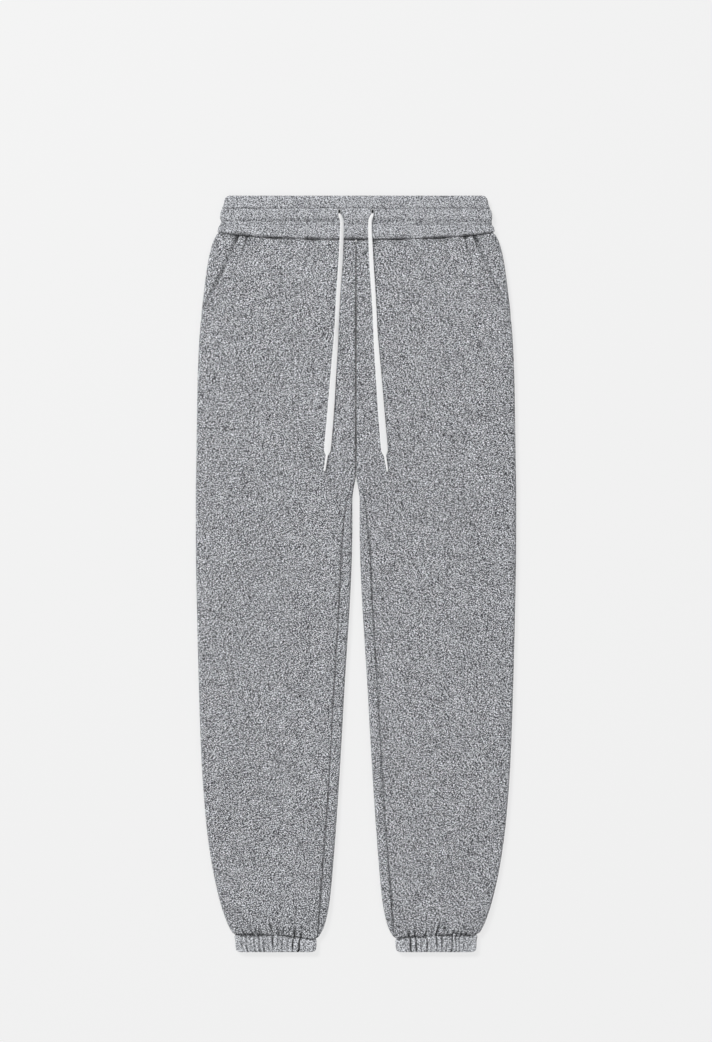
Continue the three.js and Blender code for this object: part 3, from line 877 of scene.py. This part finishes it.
def apply_modifiers(piece):
    """Turns a piece with modifiers into a plain mesh."""
    evaluated = piece.evaluated_get(bpy.context.evaluated_depsgraph_get())
    mesh = bpy.data.meshes.new_from_object(evaluated)
    piece.modifiers.clear()
    piece.data = mesh


def cuff_half(name, side, is_front, material):
    """Half of a gathered elastic cuff, from inner fold to outer fold."""
    columns = Spacing(EDGE_STEPS, 210 if is_front else 90, EDGE_STEPS)
    rows = Spacing(EDGE_STEPS[:11], 18, EDGE_STEPS[:11])

    def distances(section):
        start = SEAM_GAP / 2 + (0 if is_front else section.total / 2)
        return start + columns.across(section.total / 2 - SEAM_GAP)

    near = cuff_section(np.full((1, 1), float(CUFF_SEAM_NEAR)))
    seam_x = near.skin(distances(near))[1]
    top = cuff_seam(seam_x) + SEAM_GAP / 2
    down = top + rows.down(LENGTH - top)
    section = cuff_section(down)
    distance = distances(section)
    x = section.skin(distance)[1]
    wander = 1.1 * mottle(seam_x, down, 8, 71 if side == "right" else 73)
    lift, gathers = 0, 0 * x
    if is_front:
        drawn = 1 + 0.5 * mottle(x, down, 6, 74)
        gathers = drawn * gather_lift(side, seam_x + wander, 0)
        lift = gathers + 0.5 * mottle(x * 1.8, down, 7, 75)
    drawn_in = np.clip(2.6 + 2.6 * mottle(x, 0 * x, 4.5, 76), 0.3, 3.8)
    seam = turn_down(down - top, drawn_in, 3.3 * seam_wander(x, 77))
    hem = lip(LENGTH - down, CUFF_WALL / 2 - 0.05, CUFF_WALL / 2)
    outer = section.place(distance, -np.maximum(seam, hem), lift)
    inner = section.place(distance, hem - CUFF_WALL, 0)
    uv = cloth_uv(side, distance, down)
    # Painted shade: darker in the cuff seam and in the gathers.
    fold = np.clip(seam / SEAM_SHADE_FULL_DEPTH, 0, 1) + np.clip(-gathers / 3.2, 0, 1)
    piece = shell(name, outer, inner, uv, fold, material, SIDES[side])
    return piece


def through(rows, step):
    """Evenly spaced points of a smooth curve through a table's points."""
    points = np.stack([rows["across"], LENGTH / 2 - rows["down"], rows["up"]], axis=1)
    padded = np.concatenate([2 * points[:1] - points[1:2], points, 2 * points[-1:] - points[-2:-1]])
    dense = []
    for p0, p1, p2, p3 in zip(padded, padded[1:], padded[2:], padded[3:]):
        t0 = 0
        t1 = t0 + np.linalg.norm(p1 - p0) ** 0.5
        t2 = t1 + np.linalg.norm(p2 - p1) ** 0.5
        t3 = t2 + np.linalg.norm(p3 - p2) ** 0.5
        t = np.linspace(t1, t2, 24, endpoint=False)[:, None]
        a1 = (t1 - t) / (t1 - t0) * p0 + (t - t0) / (t1 - t0) * p1
        a2 = (t2 - t) / (t2 - t1) * p1 + (t - t1) / (t2 - t1) * p2
        a3 = (t3 - t) / (t3 - t2) * p2 + (t - t2) / (t3 - t2) * p3
        b1 = (t2 - t) / (t2 - t0) * a1 + (t - t0) / (t2 - t0) * a2
        b2 = (t3 - t) / (t3 - t1) * a2 + (t - t1) / (t3 - t1) * a3
        dense.append((t2 - t) / (t2 - t1) * b1 + (t - t1) / (t2 - t1) * b2)
    dense = np.concatenate([*dense, points[-1:]])
    walked = np.concatenate([[0], np.cumsum(np.linalg.norm(np.diff(dense, axis=0), axis=1))])
    even = np.linspace(0, walked[-1], round(walked[-1] / step) + 1)
    return np.stack([np.interp(even, walked, dense[:, k]) for k in range(3)], axis=1), even


def tube(name, centres, wide, thick, turn, walked, material, side=1, squareness=3.0):
    """A closed tube of flattened rings along a path, turned about it by an angle."""
    around = 20
    heading = np.gradient(centres, axis=0)
    heading /= np.linalg.norm(heading, axis=1, keepdims=True)
    right = np.array([1.0, 0, 0]) - heading * heading[:, :1]
    right /= np.linalg.norm(right, axis=1, keepdims=True)
    up = np.cross(heading, right)
    cos, sin = np.cos(turn)[:, None], np.sin(turn)[:, None]
    right, up = right * cos + up * sin, up * cos - right * sin
    angle = np.arange(around) / around * 2 * math.pi
    power = 2 / squareness
    u = np.sign(np.cos(angle)) * np.abs(np.cos(angle)) ** power
    v = np.sign(np.sin(angle)) * np.abs(np.sin(angle)) ** power
    rings = (centres[:, None] + right[:, None] * (wide / 2)[:, None, None] * u[None, :, None]
             + up[:, None] * (thick / 2)[:, None, None] * v[None, :, None])
    points = rings.reshape(-1, 3) * (side, 1, 1)
    count = len(centres)
    faces = []
    for ring in range(count - 1):
        for k in range(around):
            a, b = ring * around + k, ring * around + (k + 1) % around
            faces.append((a, b, b + around, a + around))
    faces.append(tuple(range(around - 1, -1, -1)))
    faces.append(tuple(range((count - 1) * around, count * around)))
    if side < 0:
        faces = [face[::-1] for face in faces]
    over = wide[:, None] / 2 * u[None, :]
    uv = np.stack([over, np.broadcast_to(walked[:, None], over.shape)], axis=-1).reshape(-1, 2)
    return mesh_from(name, points, faces, uv, material)


class Wire:
    """A shader socket used in sums, so that 1 - mask adds its own Math node."""

    def __init__(self, finish, socket):
        self.finish = finish
        self.socket = socket

    def __add__(self, other):
        return self.finish.math("ADD", self, other)

    def __sub__(self, other):
        return self.finish.math("SUBTRACT", self, other)

    def __rsub__(self, other):
        return self.finish.math("SUBTRACT", other, self)

    def __mul__(self, other):
        return self.finish.math("MULTIPLY", self, other)

    def __abs__(self):
        return self.finish.math("ABSOLUTE", self)

    __radd__ = __add__
    __rmul__ = __mul__


class Finish:
    """A material under construction: nodes, the sums between them, and its shader."""

    def __init__(self, name):
        self.material = bpy.data.materials.new(name)
        self.material.use_nodes = True
        self.tree = self.material.node_tree
        self.tree.nodes.clear()

    def node(self, kind, settings=None, values=None):
        """A node with its settings made first, then its sockets' values or links."""
        made = self.tree.nodes.new("ShaderNode" + kind)
        for key, value in (settings or {}).items():
            if key == "stops":
                self.stops(made.color_ramp, value)
            else:
                setattr(made, key, value)
        for key, value in (values or {}).items():
            if isinstance(value, Wire):
                self.tree.links.new(value.socket, made.inputs[key])
            else:
                made.inputs[key].default_value = value
        return made

    def stops(self, ramp, stops):
        while len(ramp.elements) < len(stops):
            ramp.elements.new(0.5)
        for element, (position, colour) in zip(ramp.elements, stops):
            element.position = position
            element.color = (*colour, 1)

    def out(self, node, name):
        return Wire(self, node.outputs[name])

    def math(self, operation, *values):
        node = self.node("Math", {"operation": operation}, dict(enumerate(values)))
        return self.out(node, "Value")

    def cloth_place(self):
        """The piece's own UV map, in millimetres across and along."""
        uv = self.node("UVMap", {"uv_map": "Cloth"})
        parts = self.node("SeparateXYZ", values={"Vector": self.out(uv, "UV")})
        return self.out(parts, "X") * 1000, self.out(parts, "Y") * 1000

    def vector(self, x, y, z=0.0):
        return self.out(self.node("CombineXYZ", values={"X": x, "Y": y, "Z": z}), "Vector")

    def noise(self, place, scale=1.0, detail=1.0, roughness=0.5):
        node = self.node("TexNoise", {"noise_dimensions": "3D"}, {
            "Vector": place, "Scale": scale, "Detail": detail, "Roughness": roughness})
        return self.out(node, "Fac")

    def chance(self, place, dimensions="1D"):
        """A random number for each whole number or pair of whole numbers."""
        socket = "W" if dimensions == "1D" else "Vector"
        node = self.node("TexWhiteNoise", {"noise_dimensions": dimensions}, {socket: place})
        return self.out(node, "Value")

    def mix(self, amount, first, second, blend="MIX"):
        node = self.node("Mix", {"data_type": "RGBA", "blend_type": blend}, {
            0: amount, 6: first, 7: second})
        return Wire(self, node.outputs[2])

    def bump(self, height, strength, distance):
        node = self.node("Bump", values={"Height": height, "Strength": strength, "Distance": distance})
        return self.out(node, "Normal")

    def shade(self, values):
        shader = self.node("BsdfPrincipled", values=values)
        output = self.node("OutputMaterial", values={"Surface": self.out(shader, "BSDF")})
        output.is_active_output = True
        return self.material


def marl_fleece(name, paler=0.0, contrast=1.0):
    """Marl single jersey: strands and flecks of dark and light fibre over fine knitted
    stitches, with painted shade where the cloth folds in. A paler cloth has more of the light fibre."""
    hues = colours()
    finish = Finish(name)
    across, along = finish.cloth_place()
    stroke = along * 0.45 - across * 0.89
    beside = across * 0.45 + along * 0.89
    row = finish.math("FLOOR", beside * (1 / 0.6))
    tuft = finish.math("FLOOR", stroke * (1 / 1.4) + finish.chance(row) * 5)
    fibre = finish.chance(finish.vector(tuft, row), "2D")
    strand = finish.noise(finish.vector(stroke * 0.46, beside * 1.04), detail=1.0)
    fleck = finish.noise(finish.vector(stroke * 1.0, beside * 1.7, 4.7), detail=1.0)
    # The cloud gives the tone faint broad patches: painted soft shade.
    cloud_shade = finish.noise(finish.vector(across, along, 3.1), scale=0.12, detail=0.0)
    tone = ((strand - 0.5) * 0.72 + (fleck - 0.5) * 0.5 + (fibre - 0.5) * 0.12
            + (cloud_shade - 0.5) * 0.04 + 0.5)
    shades = [tuple(middle + (channel - middle) * contrast
                    for channel, middle in zip(colour, hues.marl_mid))
              for colour in (hues.marl_dark, hues.marl_mid, hues.marl_light)]
    ramp = finish.node("ValToRGB", {"stops": [
        (0.474 - paler, shades[0]), (0.520 - paler, shades[1]), (0.572 - paler, shades[2])]},
        {"Fac": tone})
    # Painted shade in soft patches: the swell noise darkens the colour by up to 7 per cent.
    swell = finish.noise(finish.vector(across, along), scale=0.045, detail=2.0)
    painted_swell_shade = finish.node("ValToRGB", {"stops": [
        (0.3, (0.93, 0.93, 0.93)), (0.7, (1.0, 1.0, 1.0))]}, {"Fac": swell})
    colour = finish.mix(1.0, finish.out(ramp, "Color"), finish.out(painted_swell_shade, "Color"), "MULTIPLY")
    # Painted shade: the colour goes towards the darkest fibre by each point's fold; the rare specks are
    # real dark fibres.
    fold = finish.out(finish.node("Attribute", {"attribute_name": "Fold"}), "Fac")
    speck = finish.math("GREATER_THAN", fibre, 0.993)
    colour = finish.mix(finish.math("MAXIMUM", fold * 0.8, speck), colour, (*hues.marl_dark, 1))
    wales = across * (MM / sizes().wale)
    zig = abs(finish.math("FRACT", wales) - 0.5) * 2
    yarn = along * (MM / sizes().course) + zig * 0.5
    loops = finish.math("SINE", yarn * (2 * math.pi)) * 0.5 + 0.5
    leg = 1 - finish.math("POWER", abs(zig * 2 - 1), 4)
    nap = finish.noise(finish.vector(across, along), scale=2.2, detail=2.0)
    height = loops * leg * 0.35 + nap * 0.4 + fibre * 0.4
    return finish.shade({
        "Base Color": colour,
        "Roughness": 0.92,
        "Specular IOR Level": 0.25,
        "Sheen Weight": 0.22,
        "Sheen Roughness": 0.55,
        "Normal": finish.bump(height, 0.55, 0.0004),
    })


def white_cord():
    """Flat woven cotton cord: fine diagonal ribs that meet along its middle."""
    hues = colours()
    finish = Finish("white_cord")
    across, along = finish.cloth_place()
    rib = finish.math("SINE", (along - abs(across) * 0.9) * 5.2) * 0.5 + 0.5
    edge = finish.math("SINE", along * 7.0) * 0.5 + 0.5
    nap = finish.noise(finish.vector(across, along), scale=3.0, detail=2.0)
    # Darker in the troughs between the ribs: painted shade, with the nap's random tone.
    shade = finish.node("ValToRGB", {"stops": [
        (0.0, tuple(channel * 0.86 for channel in hues.cord)), (0.6, tuple(hues.cord))]},
        {"Fac": rib * 0.7 + nap * 0.5})
    return finish.shade({
        "Base Color": finish.out(shade, "Color"),
        "Roughness": 0.8,
        "Specular IOR Level": 0.3,
        "Sheen Weight": 0.15,
        "Normal": finish.bump(rib * 0.8 + edge * 0.2 + nap * 0.3, 0.6, 0.0003),
    })


def dipped_tip():
    """A hardened dipped end: smooth, with the cord's ribs faint beneath."""
    finish = Finish("dipped_tip")
    across, along = finish.cloth_place()
    rib = finish.math("SINE", (along - abs(across) * 0.9) * 4.4) * 0.5 + 0.5
    nap = finish.noise(finish.vector(across, along), scale=0.9, detail=1.0)
    return finish.shade({
        "Base Color": (*colours().cord, 1),
        "Roughness": 0.42,
        "Specular IOR Level": 0.45,
        "Normal": finish.bump(rib * 0.3 + nap * 0.5, 0.4, 0.0003),
    })


def thread_finish(name, colour):
    """Sewing thread: a soft sheen and a fine twist."""
    finish = Finish(name)
    place = finish.out(finish.node("TexCoord"), "Object")
    twist = finish.noise(place, scale=2600.0, detail=1.0)
    # Darker in the low parts of the twist: painted shade.
    shade = finish.node("ValToRGB", {"stops": [
        (0.25, tuple(channel * 0.8 for channel in colour)), (0.7, tuple(colour))]}, {"Fac": twist})
    return finish.shade({
        "Base Color": finish.out(shade, "Color"),
        "Roughness": 0.6,
        "Sheen Weight": 0.1,
        "Normal": finish.bump(twist, 0.4, 0.0001),
    })


def look_at(piece, target):
    piece.rotation_euler = (Vector(target) - piece.location).to_track_quat("-Z", "Y").to_euler()


def stitch_tree(thread_material):
    """Geometry Nodes that lay thread stitches along a line, one at each pitch."""
    tree = bpy.data.node_groups.new("Stitches along a seam", "GeometryNodeTree")
    face = tree.interface
    face.new_socket("Geometry", in_out="INPUT", socket_type="NodeSocketGeometry")
    for label in ("Pitch", "Stitch length", "Thread"):
        face.new_socket(label, in_out="INPUT", socket_type="NodeSocketFloat")
    face.new_socket("Seed", in_out="INPUT", socket_type="NodeSocketInt")
    face.new_socket("Geometry", in_out="OUTPUT", socket_type="NodeSocketGeometry")

    def node(kind, settings=None, values=None):
        made = tree.nodes.new(kind)
        for key, value in (settings or {}).items():
            setattr(made, key, value)
        for key, value in (values or {}).items():
            if isinstance(value, bpy.types.NodeSocket):
                tree.links.new(value, made.inputs[key])
            else:
                made.inputs[key].default_value = value
        return made

    given = node("NodeGroupInput").outputs
    line = node("GeometryNodeMeshToCurve", values={"Mesh": given["Geometry"]})
    spaced = node("GeometryNodeResampleCurve", {"mode": "LENGTH"}, {
        "Curve": line.outputs["Curve"], "Length": given["Pitch"]})
    bead = node("GeometryNodeMeshUVSphere", values={"Segments": 8, "Rings": 5, "Radius": 0.5})
    size = node("ShaderNodeCombineXYZ", values={
        "X": given["Stitch length"], "Y": given["Thread"], "Z": given["Thread"]})
    stitch = node("GeometryNodeTransform", values={
        "Geometry": bead.outputs["Mesh"], "Scale": size.outputs["Vector"]})
    heading = node("FunctionNodeAlignRotationToVector", {"axis": "X"}, {
        "Vector": node("GeometryNodeInputTangent").outputs["Tangent"]})
    lean = node("FunctionNodeRandomValue", {"data_type": "FLOAT_VECTOR"}, {
        "Min": (0, 0, -0.12), "Max": (0, 0, 0.12), "Seed": given["Seed"]})
    lean_turn = node("FunctionNodeEulerToRotation", values={"Euler": lean.outputs["Value"]})
    turned = node("FunctionNodeRotateRotation", {"rotation_space": "LOCAL"}, {
        "Rotation": heading.outputs["Rotation"], "Rotate By": lean_turn.outputs["Rotation"]})
    placed = node("GeometryNodeInstanceOnPoints", values={
        "Points": spaced.outputs["Curve"], "Instance": stitch.outputs["Geometry"],
        "Rotation": turned.outputs["Rotation"]})
    smooth = node("GeometryNodeSetShadeSmooth", values={"Geometry": placed.outputs["Instances"]})
    real = node("GeometryNodeRealizeInstances", values={"Geometry": smooth.outputs["Geometry"]})
    done = node("GeometryNodeSetMaterial", values={
        "Geometry": real.outputs["Geometry"], "Material": thread_material})
    node("NodeGroupOutput", values={"Geometry": done.outputs["Geometry"]})
    return tree


def sew(name, lines, tree, material, seed):
    """One piece that holds the stitches along several lines of points, in millimetres."""
    points, edges = [], []
    for line in lines:
        edges += [(len(points) + k, len(points) + k + 1) for k in range(len(line) - 1)]
        points += (np.asarray(line) * MM).tolist()
    mesh = bpy.data.meshes.new(name + "_lines")
    mesh.from_pydata(points, edges, [])
    guide = new_object(name + "_lines", mesh)
    modifier = guide.modifiers.new("stitches", "NODES")
    modifier.node_group = tree
    values = {
        "Pitch": sizes().stitch_pitch,
        "Stitch length": sizes().stitch_pitch * 0.82,
        "Thread": sizes().thread,
        "Seed": seed,
    }
    for item in tree.interface.items_tree:
        if item.name in values:
            modifier[item.identifier] = values[item.name]
    evaluated = guide.evaluated_get(bpy.context.evaluated_depsgraph_get())
    made = bpy.data.meshes.new_from_object(evaluated)
    made.name = name
    made.materials.clear()
    made.materials.append(material)
    bpy.data.objects.remove(guide)
    piece = new_object(name, made)
    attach(piece, "root")
    return piece


class JOGGER_OT_camera(bpy.types.Operator):
    """Hangs the camera straight above the laid garment, framed as the photograph"""

    bl_idname = "jogger.camera"
    bl_label = "Camera"

    def execute(self, context):
        height = 3.0
        to_cloth = height - CLOTH_LAID * MM
        frame_long_side = 1.396
        frame_centre = (0, 0.0709)
        data = bpy.data.cameras.new("camera")
        data.sensor_width = 36
        data.lens = data.sensor_width * to_cloth / frame_long_side
        camera = new_object("camera", data)
        camera.location = (*frame_centre, height)
        context.scene.camera = camera
        return {"FINISHED"}


class JOGGER_OT_drawcords(bpy.types.Operator):
    """Lays both ends of the flat drawcord, with their dipped tips"""

    bl_idname = "jogger.drawcords"
    bl_label = "Drawcords"

    def execute(self, context):
        cloth, dipped = white_cord(), dipped_tip()
        rows = {key: np.concatenate([CORD_START[key], CORD_ROUTE[key]]) for key in CORD_ROUTE}
        centres, walked = through(rows, 1.5)
        down = LENGTH / 2 - centres[:, 1]
        shape = {column: value_at(CORD_SHAPE, column, down) for column in ("wide", "thick", "turn")}
        end = centres[-1]
        for side, sign in SIDES.items():
            tip = self.tip(side, sign, end, dipped)
            cord = tube(f"dressed_drawcord_{side}", centres, shape["wide"], shape["thick"],
                        np.radians(shape["turn"]), walked, cloth, sign)
            dress(cord, f"drawcord_{side}")
        return {"FINISHED"}

    def tip(self, side, sign, end, material):
        across, length = CORD_TIP["to_across"], CORD_TIP["length"]
        share = np.concatenate([np.linspace(0, 0.9, 22), np.linspace(0.91, 1, 10)])
        start = np.array([end[0], end[1] + 0.6, CLOTH_LAID + 2.5])
        finish = np.array([across, end[1] - length, CLOTH_LAID + 2.0])
        centres = start + (finish - start) * share[:, None]
        wide = value_at(TIP_SHAPE, "wide", share, key="share")
        piece = tube(f"dressed_cord_tip_{side}", centres, wide, wide * 0.86, 0 * share,
                     share * length, material, sign, squareness=2.2)
        dress(piece, f"cord_tip_{side}")
        return piece


class JOGGER_OT_waistband(bpy.types.Operator):
    """Makes the front and back of the elastic waistband, with the drawcord's holes"""

    bl_idname = "jogger.waistband"
    bl_label = "Waistband"

    def execute(self, context):
        material = marl_fleece("marl_waistband", 0.024, 0.82)
        front = waistband_half("dressed_waistband_front", True, material)
        cut_bores(front)
        dress(front, "waistband_front")
        back = waistband_half("dressed_waistband_back", False, material)
        dress(back, "waistband_back")
        return {"FINISHED"}


class JOGGER_OT_fronts(bpy.types.Operator):
    """Makes both front panels, with the hems of their slant pockets"""

    bl_idname = "jogger.fronts"
    bl_label = "Fronts"

    def execute(self, context):
        material = marl_fleece("marl_front")
        for number, side in enumerate(SIDES):
            grid = PanelGrid(front_limits, Spacing(EDGE_STEPS, 128, HEM_STEPS), row_spacing())
            mouth = 0.5 + 1.1 * np.clip((72 - grid.down) / 14, 0, 1)
            sink = grid.seam_sink(side, 100 + 20 * number, grid.inseam_sink(), mouth)
            offset = pocket_hem(grid) - sink
            over_fork = grid.down < FORK_DOWN
            depth = value_at(CENTRE_SINK, "depth", grid.down) * over_fork
            drop = turn_down(grid.from_start, depth, 2.2 * seam_wander(grid.down, 97))
            # Painted shade beside the centre seam, as dark as the table gives it.
            shade = value_at(CENTRE_SINK, "shade", grid.down) * over_fork
            reach = value_at(CENTRE_SINK, "reach", grid.down) * seam_wander(grid.down, 97)
            piece = grid.shell(f"dressed_front_{side}", side, offset, grid.leg_lift(side), material,
                               drop, painted_shade_more=shade * bell(grid.from_start, reach))
            dress(piece, f"front_{side}")
        return {"FINISHED"}


class JOGGER_OT_pocket_facings(bpy.types.Operator):
    """Makes the pocket facings that show beside the slant openings"""

    bl_idname = "jogger.pocket_facings"
    bl_label = "Pocket facings"

    def execute(self, context):
        material = marl_fleece("marl_facing")
        end_down = self.end_down()

        def limits(section):
            mouth = value_at(POCKET_MOUTH, "open", section.down)
            start = pocket_distance(section) + SEAM_GAP / 2 + mouth
            return start, np.maximum(side_seam_distance(section) - SEAM_GAP / 2, start + 0.3)

        for number, side in enumerate(SIDES):
            grid = PanelGrid(limits, Spacing((0, 0.08), 40, (0, 0.06)),
                             Spacing(EDGE_STEPS, 40, (0, 0.5)), bottom=lambda x: 0 * x + end_down)
            sink = grid.seam_sink(side, 140 + 20 * number, 0.0, 0.0)
            gape = value_at(POCKET_MOUTH, "dip", grid.down) * bell(grid.from_start, 6.5)
            lift = soft_lift(side, grid.x, grid.down)
            # Painted shade where the facing falls away beside the pocket's edge, heaviest at its mouth.
            shaded = 0.7 + 0.45 * np.clip((66 - grid.down) / 8, 0, 1)
            piece = grid.shell(f"dressed_pocket_facing_{side}", side, -sink - gape, lift, material,
                               painted_shade_share=shaded)
            dress(piece, f"pocket_facing_{side}")
        return {"FINISHED"}

    def end_down(self):
        """Where the pocket's edge reaches the side seam, less a little."""
        down = np.linspace(POCKET_END_DOWN, 220, 400)
        section = leg_section(down)
        open_width = side_seam_distance(section) - pocket_distance(section)
        return float(down[open_width > 1.2].max())


class JOGGER_OT_backs(bpy.types.Operator):
    """Makes both back panels, each rolled to the front at its inseam"""

    bl_idname = "jogger.backs"
    bl_label = "Backs"

    def execute(self, context):
        material = marl_fleece("marl_back")
        for number, side in enumerate(SIDES):
            grid = PanelGrid(back_limits, Spacing(EDGE_STEPS, 36, ROLL_STEPS), row_spacing())
            offset = -grid.seam_sink(side, 180 + 20 * number, 1.0, grid.inseam_sink())
            piece = grid.shell(f"dressed_back_{side}", side, offset, grid.leg_lift(side), material)
            dress(piece, f"back_{side}")
        return {"FINISHED"}


class JOGGER_OT_cuffs(bpy.types.Operator):
    """Makes the gathered elastic cuffs"""

    bl_idname = "jogger.cuffs"
    bl_label = "Cuffs"

    def execute(self, context):
        material = marl_fleece("marl_cuff", 0.039, 0.98)
        for side in SIDES:
            for half, is_front in (("front", True), ("back", False)):
                piece = cuff_half(f"dressed_cuff_{half}_{side}", side, is_front, material)
                dress(piece, f"cuff_{half}_{side}")
        return {"FINISHED"}


class JOGGER_OT_eyelets(bpy.types.Operator):
    """Works the two eyelets: close thread wraps round each of the drawcord's holes"""

    bl_idname = "jogger.eyelets"
    bl_label = "Eyelets"

    def execute(self, context):
        material = thread_finish("eyelet_thread", colours().eyelet)
        steps, around = EYELET["wraps"] * 6, 14
        turn = np.arange(steps) / steps * 2 * math.pi
        angle = np.arange(around) / around * 2 * math.pi
        wrap = 1 + 0.14 * np.cos(EYELET["wraps"] * turn)[:, None]
        beyond = EYELET["rim"] * wrap * np.cos(angle)
        height = BAND_LAID + 0.6 + 0.8 * EYELET["rim"] * wrap * np.sin(angle)
        for side, sign in SIDES.items():
            points = np.stack([
                sign * EYELET["across"] + (EYELET["wide"] + beyond) * np.cos(turn)[:, None],
                LENGTH / 2 - EYELET["down"] + (EYELET["tall"] + beyond) * np.sin(turn)[:, None],
                height,
            ], axis=-1).reshape(-1, 3)
            faces = []
            for a in range(steps):
                for b in range(around):
                    near, far = a * around, (a + 1) % steps * around
                    faces.append((near + b, far + b, far + (b + 1) % around, near + (b + 1) % around))
            uv = np.zeros((len(points), 2))
            piece = mesh_from(f"dressed_eyelet_{side}", points, faces, uv, material)
            dress(piece, f"eyelet_{side}")
        return {"FINISHED"}


class JOGGER_OT_stitching(bpy.types.Operator):
    """Sews the waistband's rows, the pockets' hems and the centre front"""

    bl_idname = "jogger.stitching"
    bl_label = "Stitching"

    def execute(self, context):
        material = thread_finish("sewing_thread", colours().thread)
        tree = stitch_tree(material)
        rows = [self.band_row(down) for down in BAND_STITCH_ROWS]
        sew("stitches_waistband", rows, tree, material, 3)
        sew("stitches_pockets", [self.pocket_row(side) for side in SIDES], tree, material, 4)
        sew("stitches_centre_front", [self.centre_row()], tree, material, 5)
        return {"FINISHED"}

    def band_row(self, down):
        across = np.linspace(-1, 1, 181) * (value_at(OUTLINE, "outer", down) - 3)
        up = BAND_LAID + band_relief(across, down + 0 * across) + 0.1
        return np.stack([across, LENGTH / 2 - down + 0 * across, up], axis=1)

    def pocket_row(self, side):
        down = np.linspace(60, POCKET_END_DOWN + 4, 40)
        section = leg_section(down)
        distance = pocket_distance(section) - SEAM_GAP / 2 - value_at(HEM_LINE, "inset", down)
        x = section.skin(distance)[1]
        lift = front_lift(side, x, down)
        sunk = -value_at(HEM_LINE, "groove", down) - 0.05
        return section.place(distance, sunk, lift) * (SIDES[side], 1, 1)

    def centre_row(self):
        """A line beside the centre seam, on the wearer's right, below the waist seam."""
        down = np.linspace(62, 150, 50)
        section = leg_section(down)
        distance = np.full(down.shape, 4.0)
        x = section.skin(distance)[1]
        lift = front_lift("right", x, down)
        return section.place(distance, 0.05, lift) * (-1, 1, 1)


class JOGGER_OT_stage(bpy.types.Operator):
    """Lays the pale floor and hangs the soft studio lights"""

    bl_idname = "jogger.stage"
    bl_label = "Stage"

    def execute(self, context):
        mesh = bpy.data.meshes.new("floor")
        half, below = 30.0, -0.0004
        corners = [(-half, -half, below), (half, -half, below), (half, half, below), (-half, half, below)]
        mesh.from_pydata(corners, [], [(0, 1, 2, 3)])
        floor_finish = Finish("floor")
        mesh.materials.append(floor_finish.shade({
            "Base Color": (*colours().floor, 1),
            "Roughness": 0.9,
            "Specular IOR Level": 0.1,
            "Emission Color": (1, 1, 1, 1),
            "Emission Strength": 0.718,
        }))
        new_object("floor", mesh)
        self.light("key", (-3.1, 3.6, 4.5), 1.5, 340)
        self.light("fill", (2.2, -2.4, 4.0), 2.5, 48)
        world = bpy.data.worlds.new("studio")
        world.use_nodes = True
        world.node_tree.nodes["Background"].inputs["Color"].default_value = (1, 1, 1, 1)
        world.node_tree.nodes["Background"].inputs["Strength"].default_value = 0.40
        context.scene.world = world
        context.scene.view_settings.view_transform = "Standard"
        context.scene.view_settings.look = "None"
        return {"FINISHED"}

    def light(self, name, place, size, watts):
        data = bpy.data.lights.new(name, "AREA")
        data.shape = "SQUARE"
        data.size = size
        data.energy = watts
        lamp = new_object(name, data)
        lamp.location = place
        look_at(lamp, (0, 0, 0))


OPERATORS = (
    JOGGER_OT_camera,
    JOGGER_OT_drawcords,
    JOGGER_OT_waistband,
    JOGGER_OT_fronts,
    JOGGER_OT_pocket_facings,
    JOGGER_OT_backs,
    JOGGER_OT_cuffs,
    JOGGER_OT_eyelets,
    JOGGER_OT_stitching,
    JOGGER_OT_stage,
)


class JOGGER_PT_panel(bpy.types.Panel):
    """Lists the garment's pieces in the order in which they are made"""

    bl_idname = "JOGGER_PT_panel"
    bl_label = "Jogger Sweatpants"
    bl_space_type = "VIEW_3D"
    bl_region_type = "UI"
    bl_category = "Joggers"

    def draw(self, context):
        for group in (context.scene.jogger_sizes, context.scene.jogger_colours):
            box = self.layout.box()
            for name in group.bl_rna.properties.keys():
                if name not in ("rna_type", "name"):
                    box.prop(group, name)
        for operator in OPERATORS:
            self.layout.operator(operator.bl_idname)


CLASSES = (JoggerSizes, JoggerColours, *OPERATORS, JOGGER_PT_panel)


def register():
    for each in CLASSES:
        bpy.utils.register_class(each)
    bpy.types.Scene.jogger_sizes = bpy.props.PointerProperty(type=JoggerSizes)
    bpy.types.Scene.jogger_colours = bpy.props.PointerProperty(type=JoggerColours)


def unregister():
    del bpy.types.Scene.jogger_colours
    del bpy.types.Scene.jogger_sizes
    for each in reversed(CLASSES):
        bpy.utils.unregister_class(each)


def main():
    register()
    for operator in OPERATORS:
        group, name = operator.bl_idname.split(".")
        getattr(getattr(bpy.ops, group), name)()


if __name__ == "__main__":
    main()
